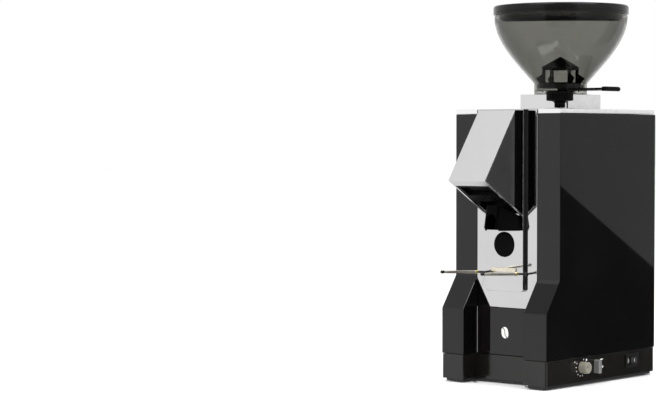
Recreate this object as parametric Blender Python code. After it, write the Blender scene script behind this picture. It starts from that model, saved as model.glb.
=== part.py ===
"""Burr coffee grinder with a front chute, portafilter fork and bean hopper.

Every piece is its own object. X points right seen from the front, Y points to the back, Z up.
Shapes are laid out from the machine's own datum, the middle of the base's front edge at bench
level. The empty "machine" then carries the whole assembly, so that the world's origin is the
middle of the machine's footprint box on the bench.
"""
import math

import bmesh
import bpy
from mathutils import Matrix, Vector

MM = 0.001
GAP = 0.3 * MM                       # clearance between pieces that touch
OVERCUT = 1 * MM                     # how far a cutter runs past the face it opens

# Housing
BODY_HALF_WIDTH = 60 * MM
BODY_DEPTH = 180 * MM
FRONT_Y = 21 * MM                    # plane of the upper front
OPENING_HALF_WIDTH = 34.7 * MM       # between the two front pillars
SHEET = 1.5 * MM
FOOT_RADIUS = 8.5 * MM
FOOT_HEIGHT = 2.2 * MM
FOOT_X = 47.3 * MM
FOOT_INSET_Y = 14 * MM
SOLE_BOTTOM = 1 * MM
SOLE_TOP = 4.8 * MM
SOLE_INSET = 3 * MM
PLINTH_BOTTOM = 3.5 * MM
PLINTH_WALL = 2.7 * MM
PLINTH_LEDGE = 9 * MM
PLINTH_LEDGE_TOP = 7.2 * MM
PLINTH_TOP = 26.5 * MM
KICK_LOW = 69.7 * MM                 # the pillars lean back between these two heights
KICK_HIGH = 99.5 * MM
SHELL_TOP = 252 * MM
PLATE_BOTTOM = SHELL_TOP + GAP
PLATE_TOP = 256.5 * MM
FASCIA_TOP = 71.2 * MM
PANEL_TOP = 256.3 * MM
REAR_COVER_HALF_WIDTH = 52 * MM
REAR_COVER_BOTTOM = 34 * MM
REAR_COVER_TOP = 244 * MM
REAR_COVER_LAP = 4 * MM
VENT_COUNT = 7
VENT_HALF_WIDTH = 32 * MM
VENT_HEIGHT = 3.2 * MM
VENT_PITCH = 9 * MM
VENT_BOTTOM = 70 * MM

# Front: raised plate, start button, fork
SPOUT_PLATE_HALF_WIDTH = 21.4 * MM
SPOUT_PLATE_FRONT = 17 * MM
SPOUT_PLATE_BOTTOM = 87 * MM
BUTTON_RADIUS = 11.5 * MM
BUTTON_HEIGHT = 130.7 * MM
BUTTON_DOME = 2.2 * MM
BUTTON_STEM_RADIUS = 4.5 * MM
FORK_X = 22.9 * MM
FORK_TIP_Y = -48.5 * MM
FORK_SLEEVE_REAR_Y = 6 * MM
FORK_BAR_Y = 27 * MM
FORK_TIP_Z = 107.3 * MM
FORK_REAR_Z = 103.6 * MM
FORK_WIRE_RADIUS = 1.1 * MM
FORK_SLEEVE_RADIUS = 1.75 * MM
REST_HALF_WIDTH = 13.7 * MM
REST_BOTTOM = 105.6 * MM
REST_TOP = 109.1 * MM

# Chute: a wedge seen from the side, given by three corners (Y, Z)
CHUTE_HALF_WIDTH = 20.8 * MM
CHUTE_TOP = (4.9 * MM, 255.3 * MM)
CHUTE_NOSE = (-41 * MM, 190.7 * MM)
CHUTE_HEEL = (16.7 * MM, 157.3 * MM)
CHUTE_SHEET = 1.6 * MM
CHUTE_LIP = 10 * MM
OUTLET_HALF_WIDTH = 13 * MM
OUTLET_BOTTOM = 213.5 * MM
OUTLET_TOP = 232.5 * MM
SPOUT_BOTTOM = 146 * MM
SPOUT_WALL = 2 * MM
SPOUT_RIM = 2 * MM
SPOUT_ARCH_RADIUS = 5.75 * MM
SPOUT_ARCH_TOP = 159.4 * MM

# Hopper, all on the burr axis
AXIS_Y = 106.5 * MM
COLLAR_HALF = 28 * MM
COLLAR_TOP = 271 * MM
SPIGOT_RADIUS = 22.2 * MM
SPIGOT_BOTTOM = 258 * MM
NECK_RADIUS = 25.3 * MM
NECK_TOP = 281.5 * MM
BOWL_RADIUS = 63.6 * MM
BOWL_TOP = 346 * MM
BOWL_WALL = 2.2 * MM
BOWL_SWELL = 1.06                    # exponent that flattens the foot of the bowl's curve
RIM_OUTER = 62.1 * MM                # upright ring on the bowl's shoulder, inside the lid's skirt
RIM_INNER = 60 * MM
RIM_ROOT = 343.6 * MM                # foot of the ring's bore, where it runs into the bowl's wall
RIM_TOP = 349 * MM
THROAT_RADIUS = 14.5 * MM
THROAT_FLOOR = 274.2 * MM
GATE_HALF_WIDTH = 16 * MM
GATE_INNER_X = 5 * MM
GATE_TIP_X = 60 * MM
GATE_BOTTOM = 274.65 * MM
GATE_THICKNESS = 2.1 * MM
GUARD_HALF = 14 * MM
GUARD_TURN = math.radians(18)        # the loose guard sits slightly turned on its seat
GUARD_BASE = 277.4 * MM
GUARD_EAVES = 297.7 * MM
GUARD_PEAK = 307.5 * MM
LID_RADIUS = 64.6 * MM
LID_BOTTOM = BOWL_TOP + GAP
LID_INNER = 62.5 * MM
LID_SEAT = 350.6 * MM                # underside that presses on the seal
LID_CEILING = 352.3 * MM
LID_SHOULDER = 355.3 * MM
LID_TOP = 356.6 * MM

# Grind adjustment: a knob's pinion turns a threaded ring that lifts the upper burr
GEAR_MODULE = 1.5 * MM
RING_TEETH = 60
PINION_TEETH = 11
KNOB_X = 30.1 * MM
KNOB_Y = 62.57 * MM
KNOB_RADIUS = 12.6 * MM
KNOB_BOTTOM = 257.8 * MM
KNOB_TOP = 272.7 * MM
SPINDLE_RADIUS = 3 * MM
GEAR_BOTTOM = 238 * MM
GEAR_TOP = 243 * MM

# Burrs and chamber
BURR_RADIUS = 25 * MM
BURR_BORE = 15.5 * MM
BURR_THICKNESS = 5 * MM
LOWER_BURR_BOTTOM = 219.3 * MM
BURR_SPACE = 0.5 * MM
CHAMBER_RADIUS = 38 * MM
CHAMBER_BORE = 34 * MM
CHAMBER_BOTTOM = 209.2 * MM
CARRIER_RADIUS = 31.3 * MM
CARRIER_TOP = 249.5 * MM

# Motor
FRAME_BOTTOM = 204.9 * MM
FRAME_TOP = 208.9 * MM
STATOR_HALF = 40 * MM
STATOR_BOTTOM = 130 * MM
STATOR_TOP = 175.3 * MM
ROTOR_RADIUS = 22 * MM
SHAFT_RADIUS = 5 * MM
SHAFT_BOTTOM = 92 * MM
SHAFT_TOP = 222 * MM
SHIELD_RADIUS = 40 * MM
SHIELD_WALL = 3 * MM
FAN_RADIUS = 32 * MM
FAN_BLADES = 8

# Controls on the right-hand side of the plinth
TIMER_Y = 55.7 * MM
TIMER_Z = 17.3 * MM
TIMER_KNOB_RADIUS = 5.4 * MM
TIMER_KNOB_END_X = 68.6 * MM
SELECTOR_Y = 78.5 * MM
SELECTOR_Z = 16.4 * MM
SELECTOR_HALF_LENGTH = 6.3 * MM
SELECTOR_HALF_WIDTH = 2.6 * MM
SELECTOR_END_X = 65.8 * MM
TIMER_SHAFT_RADIUS = 3 * MM
SELECTOR_SHAFT_RADIUS = 1.4 * MM
ROCKER_Y = 139.25 * MM
ROCKER_Z = 17 * MM
ROCKER_PIVOT_X = 57 * MM
ROCKER_REST_TILT = math.radians(9)
GLAND_X = -35 * MM
GLAND_Z = 15 * MM
GLAND_END_Y = 182.3 * MM

# Middle of the whole machine's footprint box, from its outermost pieces
CENTRE_X = (TIMER_KNOB_END_X - LID_RADIUS) / 2
CENTRE_Y = (FORK_TIP_Y + GLAND_END_Y) / 2

STEPS_LARGE = 36                     # sides of the round pieces
STEPS_MEDIUM = 24
STEPS_SMALL = 16


# ---------------------------------------------------------------- outlines

def offset_outline(points, distance):
    """Move every side of a counter-clockwise outline inwards by distance, with mitred corners."""
    result = []
    for i, here in enumerate(points):
        before = Vector(points[i - 1])
        here = Vector(here)
        after = Vector(points[(i + 1) % len(points)])
        side_in = (here - before).normalized()
        side_out = (after - here).normalized()
        normal_in = Vector((-side_in.y, side_in.x))
        normal_out = Vector((-side_out.y, side_out.x))
        mitre = (normal_in + normal_out) / (1 + normal_in.dot(normal_out))
        result.append(tuple(here + mitre * distance))
    return result


def round_corner(before, corner, after, radius, steps):
    """Points of the arc that rounds one corner."""
    corner = Vector(corner)
    arm_in = (Vector(before) - corner).normalized()
    arm_out = (Vector(after) - corner).normalized()
    half_angle = math.acos(max(-1, min(1, arm_in.dot(arm_out)))) / 2
    reach = radius / math.tan(half_angle)
    centre = corner + (arm_in + arm_out).normalized() * (radius / math.sin(half_angle))
    start = corner + arm_in * reach - centre
    end = corner + arm_out * reach - centre
    sweep = math.atan2(start.x * end.y - start.y * end.x, start.dot(end))
    arc = []
    for i in range(steps + 1):
        turn = sweep * i / steps
        arc.append((centre.x + start.x * math.cos(turn) - start.y * math.sin(turn),
                    centre.y + start.x * math.sin(turn) + start.y * math.cos(turn)))
    return arc


def rounded(points, radii, steps=4):
    """An outline with corner i rounded to radii[i]; zero leaves the corner sharp."""
    result = []
    for i, corner in enumerate(points):
        if radii[i] == 0:
            result.append(corner)
        else:
            result += round_corner(points[i - 1], corner, points[(i + 1) % len(points)], radii[i], steps)
    return result


def rectangle(low, high):
    return [(low[0], low[1]), (high[0], low[1]), (high[0], high[1]), (low[0], high[1])]


def rounded_rectangle(low, high, radius, steps=4):
    return rounded(rectangle(low, high), [radius] * 4, steps)


def circle(centre, radius, steps=STEPS_SMALL):
    turns = [2 * math.pi * i / steps for i in range(steps)]
    return [(centre[0] + radius * math.cos(t), centre[1] + radius * math.sin(t)) for t in turns]


def base_outline():
    """Plan of the base: a rectangle with a bay between the two front pillars."""
    side, bay = BODY_HALF_WIDTH, OPENING_HALF_WIDTH
    return [(-side, 0), (-bay, 0), (-bay, FRONT_Y), (bay, FRONT_Y), (bay, 0), (side, 0),
            (side, BODY_DEPTH), (-side, BODY_DEPTH)]


def shell_profile():
    """Side view (Y, Z) of the housing, counter-clockwise."""
    bottom = PLINTH_TOP + GAP
    return [(0, bottom), (BODY_DEPTH, bottom), (BODY_DEPTH, SHELL_TOP), (FRONT_Y, SHELL_TOP),
            (FRONT_Y, KICK_HIGH), (0, KICK_LOW)]


def chute_point(along, above):
    """A point in the chute's underside line: along it from the nose, and above it."""
    nose, heel = Vector(CHUTE_NOSE), Vector(CHUTE_HEEL)
    direction = (heel - nose).normalized()
    normal = Vector((-direction.y, direction.x))
    return tuple(nose + direction * along + normal * above)


def chute_underside_z(y):
    nose, heel = CHUTE_NOSE, CHUTE_HEEL
    return nose[1] + (heel[1] - nose[1]) * (y - nose[0]) / (heel[0] - nose[0])


def gear_outline(centre, teeth, phase):
    """Short straight-sided teeth with generous backlash."""
    pitch_radius = GEAR_MODULE * teeth / 2
    root = pitch_radius - 1.1 * GEAR_MODULE
    tip = pitch_radius + 0.75 * GEAR_MODULE
    tooth_angle = 2 * math.pi / teeth
    flanks = [(-0.27, root), (-0.13, tip), (0.13, tip), (0.27, root)]
    points = []
    for i in range(teeth):
        for share, radius in flanks:
            turn = phase + (i + share) * tooth_angle
            points.append((centre[0] + radius * math.cos(turn), centre[1] + radius * math.sin(turn)))
    return points


# ---------------------------------------------------------------- solids

def clear_scene():
    for obj in list(bpy.data.objects):
        bpy.data.objects.remove(obj, do_unlink=True)


def material(name, colour, roughness, metallic=0.0, alpha=1.0):
    mat = bpy.data.materials.new(name)
    mat.use_nodes = True
    shader = mat.node_tree.nodes["Principled BSDF"]
    shader.inputs["Base Color"].default_value = (*colour, 1)
    shader.inputs["Roughness"].default_value = roughness
    shader.inputs["Metallic"].default_value = metallic
    shader.inputs["Alpha"].default_value = alpha
    return mat


def finish_mesh(name, mesh_builder, smooth):
    bmesh.ops.recalc_face_normals(mesh_builder, faces=mesh_builder.faces)
    mesh = bpy.data.meshes.new(name)
    mesh_builder.to_mesh(mesh)
    mesh_builder.free()
    if smooth:
        mesh.shade_smooth()
        mesh.set_sharp_from_angle(angle=math.radians(35))
    obj = bpy.data.objects.new(name, mesh)
    bpy.context.collection.objects.link(obj)
    obj.parent = bpy.data.objects["machine"]
    return obj


def stack(name, rings, smooth=False):
    """A closed solid through rings of equally many points, with the end rings capped."""
    builder = bmesh.new()
    layers = [[builder.verts.new(point) for point in ring] for ring in rings]
    for low, high in zip(layers, layers[1:]):
        for i, vertex in enumerate(low):
            after = (i + 1) % len(low)
            builder.faces.new((vertex, low[after], high[after], high[i]))
    builder.faces.new(reversed(layers[0]))
    builder.faces.new(layers[-1])
    return finish_mesh(name, builder, smooth)


def prism(name, outline, low, high, axis="Z", smooth=False):
    """Extrude an outline along an axis. Its points are (x, y) for Z, (y, z) for X, (x, z) for Y."""
    def layer(level):
        if axis == "X":
            return [(level, a, b) for a, b in outline]
        if axis == "Y":
            return [(a, level, b) for a, b in outline]
        return [(a, b, level) for a, b in outline]
    return stack(name, [layer(low), layer(high)], smooth)


def lathe(name, profile, centre=(0, 0), steps=STEPS_MEDIUM):
    """Turn a closed (radius, height) profile about an upright axis through centre."""
    builder = bmesh.new()
    columns = []
    for radius, height in profile:
        count = 1 if radius == 0 else steps
        points = circle(centre, radius, steps)[:count]
        columns.append([builder.verts.new((x, y, height)) for x, y in points])
    for i, column in enumerate(columns):
        other = columns[(i + 1) % len(columns)]
        if len(column) == 1 and len(other) == 1:
            continue
        for j in range(steps):
            after = (j + 1) % steps
            corners = [column[j % len(column)], column[after % len(column)],
                       other[after % len(other)], other[j % len(other)]]
            builder.faces.new(list(dict.fromkeys(corners)))
    return finish_mesh(name, builder, smooth=True)


def ring(name, inner, outer, low, high, centre=(0, AXIS_Y), steps=STEPS_MEDIUM):
    return lathe(name, [(inner, low), (outer, low), (outer, high), (inner, high)], centre, steps)


def lathe_along(name, profile, position, axis, steps=STEPS_SMALL):
    """A turned piece whose heights run from position along +X, or along -Y."""
    obj = lathe(name, profile, (0, 0), steps)
    quarter = math.pi / 2
    spin = Matrix.Rotation(quarter, 4, "Y") if axis == "+X" else Matrix.Rotation(quarter, 4, "X")
    obj.data.transform(spin)
    obj.location = position
    return obj


def move_origin(obj, point):
    """Put a piece's origin on its joint, without moving the piece."""
    obj.data.transform(Matrix.Translation(-Vector(point)))
    obj.location = point
    return obj


def boolean(target, tool, operation):
    tool.hide_render = True
    tool.display_type = "WIRE"
    modifier = target.modifiers.new(tool.name, "BOOLEAN")
    modifier.operation = operation
    modifier.solver = "EXACT"
    modifier.object = tool


def cut(target, *tools):
    for tool in tools:
        boolean(target, tool, "DIFFERENCE")


def add(target, *tools):
    for tool in tools:
        boolean(target, tool, "UNION")


def paint(mat, *objects):
    for obj in objects:
        obj.data.materials.append(mat)


# ---------------------------------------------------------------- base and housing

def foot_places():
    rear = BODY_DEPTH - FOOT_INSET_Y
    return {"front_left": (-FOOT_X, FOOT_INSET_Y), "front_right": (FOOT_X, FOOT_INSET_Y),
            "rear_left": (-FOOT_X, rear), "rear_right": (FOOT_X, rear)}


def make_feet(rubber):
    for place, centre in foot_places().items():
        edge = 0.6 * MM
        profile = [(0, 0), (FOOT_RADIUS - edge, 0), (FOOT_RADIUS, edge), (FOOT_RADIUS, FOOT_HEIGHT),
                   (0, FOOT_HEIGHT)]
        paint(rubber, lathe("foot_" + place, profile, centre, STEPS_SMALL))


def make_base_plate(plastic):
    outline = offset_outline(base_outline(), SOLE_INSET)
    plate = prism("base_plate", outline, SOLE_BOTTOM, SOLE_TOP)
    for place, centre in foot_places().items():
        pocket = circle(centre, FOOT_RADIUS + GAP)
        cut(plate, prism("pocket_" + place, pocket, 0, FOOT_HEIGHT + GAP))
    paint(plastic, plate)


def make_plinth(plastic):
    radii = [2 * MM, 1 * MM, 0, 0, 1 * MM, 2 * MM, 3 * MM, 3 * MM]
    plinth = prism("base_plinth", rounded(base_outline(), radii, 3), PLINTH_BOTTOM, PLINTH_TOP)
    wide = offset_outline(base_outline(), PLINTH_WALL)
    narrow = offset_outline(base_outline(), PLINTH_LEDGE)
    sole_recess_top = SOLE_TOP + GAP
    cut(plinth,
        prism("cut_sole_recess", wide, PLINTH_BOTTOM - OVERCUT, sole_recess_top),
        prism("cut_plinth_opening", narrow, sole_recess_top - OVERCUT, PLINTH_LEDGE_TOP + OVERCUT),
        prism("cut_plinth_inside", wide, PLINTH_LEDGE_TOP, PLINTH_TOP + OVERCUT))
    inside_x = BODY_HALF_WIDTH - 2 * PLINTH_WALL
    outside_x = BODY_HALF_WIDTH + OVERCUT
    timer_hole = circle((TIMER_Y, TIMER_Z), TIMER_SHAFT_RADIUS + GAP)
    selector_hole = circle((SELECTOR_Y, SELECTOR_Z), SELECTOR_SHAFT_RADIUS + GAP, 12)
    cut(plinth,
        prism("cut_timer_hole", timer_hole, inside_x, outside_x, "X"),
        prism("cut_selector_hole", selector_hole, inside_x, outside_x, "X"),
        prism("cut_rocker_hole", rocker_rectangle(9 * MM, 5 * MM), inside_x, outside_x, "X"),
        prism("cut_gland_hole", circle((GLAND_X, GLAND_Z), 5.3 * MM),
              BODY_DEPTH - 2 * PLINTH_WALL, BODY_DEPTH + OVERCUT, "Y"))
    paint(plastic, plinth)


def make_shell(enamel):
    profile = shell_profile()
    side = BODY_HALF_WIDTH
    shell = prism("body_shell", profile, -side, side, "X")
    hollow = offset_outline(profile, SHEET)
    run_out = 3 * SHEET              # past the shell's open bottom and top
    hollow[:2] = [(y, z - run_out) for y, z in hollow[:2]]
    hollow[2:4] = [(y, z + run_out) for y, z in hollow[2:4]]
    cut(shell, prism("cut_shell_inside", hollow, -side + SHEET, side - SHEET, "X"))
    bay = OPENING_HALF_WIDTH
    low, high = PLINTH_TOP - OVERCUT, SHELL_TOP + OVERCUT
    cut(shell, prism("cut_front_bay", rectangle((-bay, -OVERCUT), (bay, FRONT_Y + 2 * SHEET)), low, high))
    flange_y = FRONT_Y + 5 * MM
    cheek = [(0, profile[0][1]), (flange_y, profile[0][1]), (flange_y, SHELL_TOP), *profile[3:]]
    for name, near in (("left_cheek", -bay - SHEET), ("right_cheek", bay)):
        add(shell, prism(name, cheek, near, near + SHEET, "X"))
    half, lap = REAR_COVER_HALF_WIDTH - REAR_COVER_LAP, REAR_COVER_LAP
    window = rectangle((-half, REAR_COVER_BOTTOM + lap), (half, REAR_COVER_TOP - lap))
    cut(shell, prism("cut_rear_window", window, BODY_DEPTH - 2 * SHEET, BODY_DEPTH + OVERCUT, "Y"))
    paint(enamel, shell)


def make_rear_cover(enamel):
    outline = rounded_rectangle((-REAR_COVER_HALF_WIDTH, REAR_COVER_BOTTOM),
                                (REAR_COVER_HALF_WIDTH, REAR_COVER_TOP), 4 * MM, 3)
    front = BODY_DEPTH + GAP
    back = front + 1.2 * MM
    cover = prism("rear_cover", outline, front, back, "Y")
    for i in range(VENT_COUNT):
        low = VENT_BOTTOM + i * VENT_PITCH
        slot = rectangle((-VENT_HALF_WIDTH, low), (VENT_HALF_WIDTH, low + VENT_HEIGHT))
        cut(cover, prism("cut_vent_%d" % i, slot, front - OVERCUT, back + OVERCUT, "Y"))
    paint(enamel, cover)


def make_top_plate(chrome):
    side, bay = BODY_HALF_WIDTH, OPENING_HALF_WIDTH + GAP
    panel_back = FRONT_Y + SHEET + GAP
    outline = [(-side, FRONT_Y), (-bay, FRONT_Y), (-bay, panel_back), (bay, panel_back), (bay, FRONT_Y),
               (side, FRONT_Y), (side, BODY_DEPTH), (-side, BODY_DEPTH)]
    plate = prism("top_plate", rounded(outline, [0, 0, 0, 0, 0, 0, 3 * MM, 3 * MM], 3),
                  PLATE_BOTTOM, PLATE_TOP)
    low, high = PLATE_BOTTOM - OVERCUT, PLATE_TOP + OVERCUT
    cut(plate,
        prism("cut_plate_throat", circle((0, AXIS_Y), 20 * MM, STEPS_MEDIUM), low, high),
        prism("cut_plate_spindle", circle((KNOB_X, KNOB_Y), SPINDLE_RADIUS + GAP), low, high))
    paint(chrome, plate)


def outlet_window(name, near, far):
    """Cutter for the coffee outlet through one of the front sheets."""
    window = rectangle((-OUTLET_HALF_WIDTH, OUTLET_BOTTOM), (OUTLET_HALF_WIDTH, OUTLET_TOP))
    return prism(name, window, near, far, "Y")


def make_front_panel(chrome):
    half = OPENING_HALF_WIDTH - GAP
    low = FASCIA_TOP + GAP
    outline = rounded(rectangle((-half, low), (half, PANEL_TOP)), [4 * MM, 4 * MM, 0, 0])
    panel = prism("front_panel", outline, FRONT_Y, FRONT_Y + SHEET, "Y")
    near, far = FRONT_Y - OVERCUT, FRONT_Y + SHEET + OVERCUT
    for name, x in (("cut_left_fork_hole", -FORK_X), ("cut_right_fork_hole", FORK_X)):
        cut(panel, prism(name, circle((x, FORK_REAR_Z), 1.7 * MM, 12), near, far, "Y"))
    cut(panel,
        prism("cut_panel_button", circle((0, BUTTON_HEIGHT), BUTTON_STEM_RADIUS + 2 * GAP), near, far, "Y"),
        outlet_window("cut_panel_outlet", near, far))
    paint(chrome, panel)


def make_lower_fascia(gloss):
    half = OPENING_HALF_WIDTH - GAP
    outline = rectangle((-half, PLINTH_TOP + 2 * GAP), (half, FASCIA_TOP))
    paint(gloss, prism("lower_fascia", outline, FRONT_Y, FRONT_Y + SHEET, "Y"))


# ---------------------------------------------------------------- raised plate, button and fork

def make_spout_plate(chrome):
    half = SPOUT_PLATE_HALF_WIDTH
    outline = rounded(rectangle((-half, SPOUT_PLATE_BOTTOM), (half, PANEL_TOP)), [3 * MM, 3 * MM, 0, 0])
    plate = prism("spout_plate", outline, SPOUT_PLATE_FRONT, FRONT_Y - GAP, "Y")
    near, far = SPOUT_PLATE_FRONT - OVERCUT, FRONT_Y + OVERCUT
    hole = circle((0, BUTTON_HEIGHT), BUTTON_RADIUS + GAP, STEPS_MEDIUM)
    cut(plate, prism("cut_plate_button", hole, near, far, "Y"), outlet_window("cut_plate_outlet", near, far))
    paint(chrome, plate)


def make_button(plastic):
    rim, back = 1.2 * MM, -0.7 * MM
    dome = [(BUTTON_RADIUS * math.cos(t), rim + (BUTTON_DOME - rim) * math.sin(t))
            for t in (math.radians(a) for a in (0, 25, 50, 70))]
    profile = [(0, BUTTON_DOME), (0, -9.5 * MM), (BUTTON_STEM_RADIUS, -9.5 * MM), (BUTTON_STEM_RADIUS, back),
               (BUTTON_RADIUS, back), *dome]
    place = (0, SPOUT_PLATE_FRONT, BUTTON_HEIGHT)
    paint(plastic, lathe_along("start_button", profile, place, "-Y", STEPS_MEDIUM))


def make_microswitch(plastic):
    outline = rounded_rectangle((-10 * MM, 124 * MM), (10 * MM, 137.5 * MM), 1.5 * MM, 2)
    paint(plastic, prism("start_microswitch", outline, 30.5 * MM, 44 * MM, "Y"))


def fork_height(y):
    """The fork's rods rise slightly from the panel to their tips."""
    share = (FORK_BAR_Y - y) / (FORK_BAR_Y - FORK_TIP_Y)
    return FORK_REAR_Z + (FORK_TIP_Z - FORK_REAR_Z) * share


def make_fork_wire(steel):
    front = FORK_TIP_Y + 2 * MM
    plan = [(-FORK_X, front), (-FORK_X, FORK_BAR_Y), (FORK_X, FORK_BAR_Y), (FORK_X, front)]
    corners = rounded(plan, [0, 4 * MM, 4 * MM, 0])
    curve = bpy.data.curves.new("fork_wire", "CURVE")
    curve.dimensions = "3D"
    curve.bevel_depth = FORK_WIRE_RADIUS
    curve.bevel_resolution = 2
    curve.use_fill_caps = True
    spline = curve.splines.new("POLY")
    spline.points.add(len(corners) - 1)
    for point, (x, y) in zip(spline.points, corners):
        point.co = (x, y, fork_height(y), 1)
    wire = bpy.data.objects.new("fork_wire", curve)
    bpy.context.collection.objects.link(wire)
    wire.parent = bpy.data.objects["machine"]
    paint(steel, wire)


def make_fork_sleeve(name, x, brass):
    """A tube over one rod, closed and rounded at its tip."""
    length = FORK_SLEEVE_REAR_Y - FORK_TIP_Y
    bore = FORK_WIRE_RADIUS + GAP
    tip = 0.6 * MM
    profile = [(0, length), (FORK_SLEEVE_RADIUS - tip, length), (FORK_SLEEVE_RADIUS, length - tip),
               (FORK_SLEEVE_RADIUS, 0), (bore, 0), (bore, length - 1.7 * MM), (0, length - 1.7 * MM)]
    rear = (x, FORK_SLEEVE_REAR_Y, fork_height(FORK_SLEEVE_REAR_Y))
    sleeve = lathe_along(name, profile, rear, "-Y", 12)
    slope = math.atan2(fork_height(FORK_TIP_Y) - rear[2], length)
    sleeve.rotation_euler = (-slope, 0, 0)
    paint(brass, sleeve)


def make_portafilter_rest(rubber):
    outline = rounded_rectangle((-REST_HALF_WIDTH, REST_BOTTOM), (REST_HALF_WIDTH, REST_TOP), 0.8 * MM, 2)
    back = SPOUT_PLATE_FRONT - GAP
    paint(rubber, prism("portafilter_rest", outline, back - 1.5 * MM, back, "Y"))


# ---------------------------------------------------------------- chute and spout

def chute_front_point(inset, y):
    """The point at y on the slanted front line moved inwards by inset."""
    along = (Vector(CHUTE_NOSE) - Vector(CHUTE_TOP)).normalized()
    start = Vector(CHUTE_TOP) + Vector((-along.y, along.x)) * inset
    return (y, start.y + along.y * (y - start.x) / along.x)


def chute_corner(front, under):
    """Where the front line moved in by front meets the underside line moved up by under."""
    start = Vector(chute_front_point(front, CHUTE_TOP[0]))
    along = (Vector(CHUTE_NOSE) - Vector(CHUTE_TOP)).normalized()
    direction = (Vector(CHUTE_HEEL) - Vector(CHUTE_NOSE)).normalized()
    between = Vector(chute_point(0, under)) - start
    reach = between.cross(direction) / along.cross(direction)
    return tuple(start + along * reach)


def make_chute_cover(chrome):
    """Slanted front sheet, lip under the nose and a rail along each lower edge."""
    sheet = CHUTE_SHEET
    length = (Vector(CHUTE_HEEL) - Vector(CHUTE_NOSE)).length
    _, inner_corner, heel_end = chute_section(sheet, sheet, CHUTE_HEEL[0])
    section = [CHUTE_TOP, CHUTE_NOSE, CHUTE_HEEL, heel_end, inner_corner,
               chute_front_point(sheet, CHUTE_TOP[0])]
    cover = prism("chute_cover", section, -CHUTE_HALF_WIDTH, CHUTE_HALF_WIDTH, "X")
    rail = CHUTE_HALF_WIDTH - 1.9 * MM
    past_heel = length + 3 * MM
    gap_section = [chute_point(CHUTE_LIP, -OVERCUT), chute_point(past_heel, -OVERCUT),
                   chute_point(past_heel, 2 * sheet), chute_point(CHUTE_LIP, 2 * sheet)]
    cut(cover, prism("cut_chute_underside", gap_section, -rail, rail, "X"))
    paint(chrome, cover)


def chute_section(front, under, rear):
    """Side view of the wedge, with its front and underside lines moved inwards."""
    lift = under / (Vector(CHUTE_HEEL) - Vector(CHUTE_NOSE)).normalized().x
    return [chute_front_point(front, rear), chute_corner(front, under),
            (rear, chute_underside_z(rear) + lift)]


def make_chute_body(gloss):
    """Two side walls and a front wall behind the chrome sheet, open at the back and below."""
    outer_gap = CHUTE_SHEET + GAP
    back = CHUTE_TOP[0]
    half = CHUTE_HALF_WIDTH - GAP
    body = prism("chute_body", chute_section(outer_gap, outer_gap, back), -half, half, "X")
    hollow = chute_section(outer_gap + CHUTE_SHEET, -3 * MM, back + 2 * MM)
    cut(body, prism("cut_chute_inside", hollow, -half + CHUTE_SHEET, half - CHUTE_SHEET, "X"))
    paint(gloss, body)


def make_chute_base(plastic):
    """Duct block between the raised plate and the chute, open to the front and below."""
    near, far = CHUTE_TOP[0] + GAP, SPOUT_PLATE_FRONT - GAP
    lift = 2.3 * MM
    outline = [(near, chute_underside_z(near) + lift), (far, chute_underside_z(far) + lift),
               (far, CHUTE_TOP[1]), (near, CHUTE_TOP[1])]
    half = 19.6 * MM
    base = prism("chute_base", outline, -half, half, "X")
    inner = rectangle((near - OVERCUT, CHUTE_HEEL[1] - 5 * MM), (far - 1.7 * MM, 245 * MM))
    cut(base,
        prism("cut_base_inside", inner, -half + 2.2 * MM, half - 2.2 * MM, "X"),
        outlet_window("cut_base_outlet", far - 3 * MM, far + OVERCUT))
    paint(plastic, base)


def make_chute_liner(plastic):
    """Floor of the chute, with a shallow rectangular window near the nose."""
    start, end = CHUTE_LIP + GAP, 40 * MM
    low, high = 0.4 * MM, 5.4 * MM
    section = [chute_point(start, low), chute_point(end, low), chute_point(end, high), chute_point(start, high)]
    half = CHUTE_HALF_WIDTH - 2.4 * MM
    liner = prism("chute_liner", section, -half, half, "X")
    rim, depth = 2.5 * MM, 3.4 * MM
    window = [chute_point(start + rim, low - OVERCUT), chute_point(end - 11 * MM, low - OVERCUT),
              chute_point(end - 12.5 * MM, low + depth), chute_point(start + 1.5 * rim, low + depth)]
    cut(liner, prism("cut_liner_window", window, -half + rim, half - rim, "X"))
    paint(plastic, liner)


def spout_outline():
    """Plan of the spout: wide at the raised plate, a blunt prow at the front."""
    back = SPOUT_PLATE_FRONT - GAP
    half, prow, nose = 20 * MM, 7 * MM, -5 * MM
    return rounded([(-half, back), (-half, back - 4 * MM), (-prow, nose), (prow, nose),
                    (half, back - 4 * MM), (half, back)],
                   [0, 3 * MM, 3.5 * MM, 3.5 * MM, 3 * MM, 0], 3)


def spout_rings(outline, low, rise):
    """The spout's outline at its bottom, and drawn in where it meets the chute's underside."""
    bottom = [(x, y, low) for x, y in outline]
    taper = 0.9
    top = [(x * taper, y, chute_underside_z(y) + rise) for x, y in outline]
    return [bottom, top]


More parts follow.
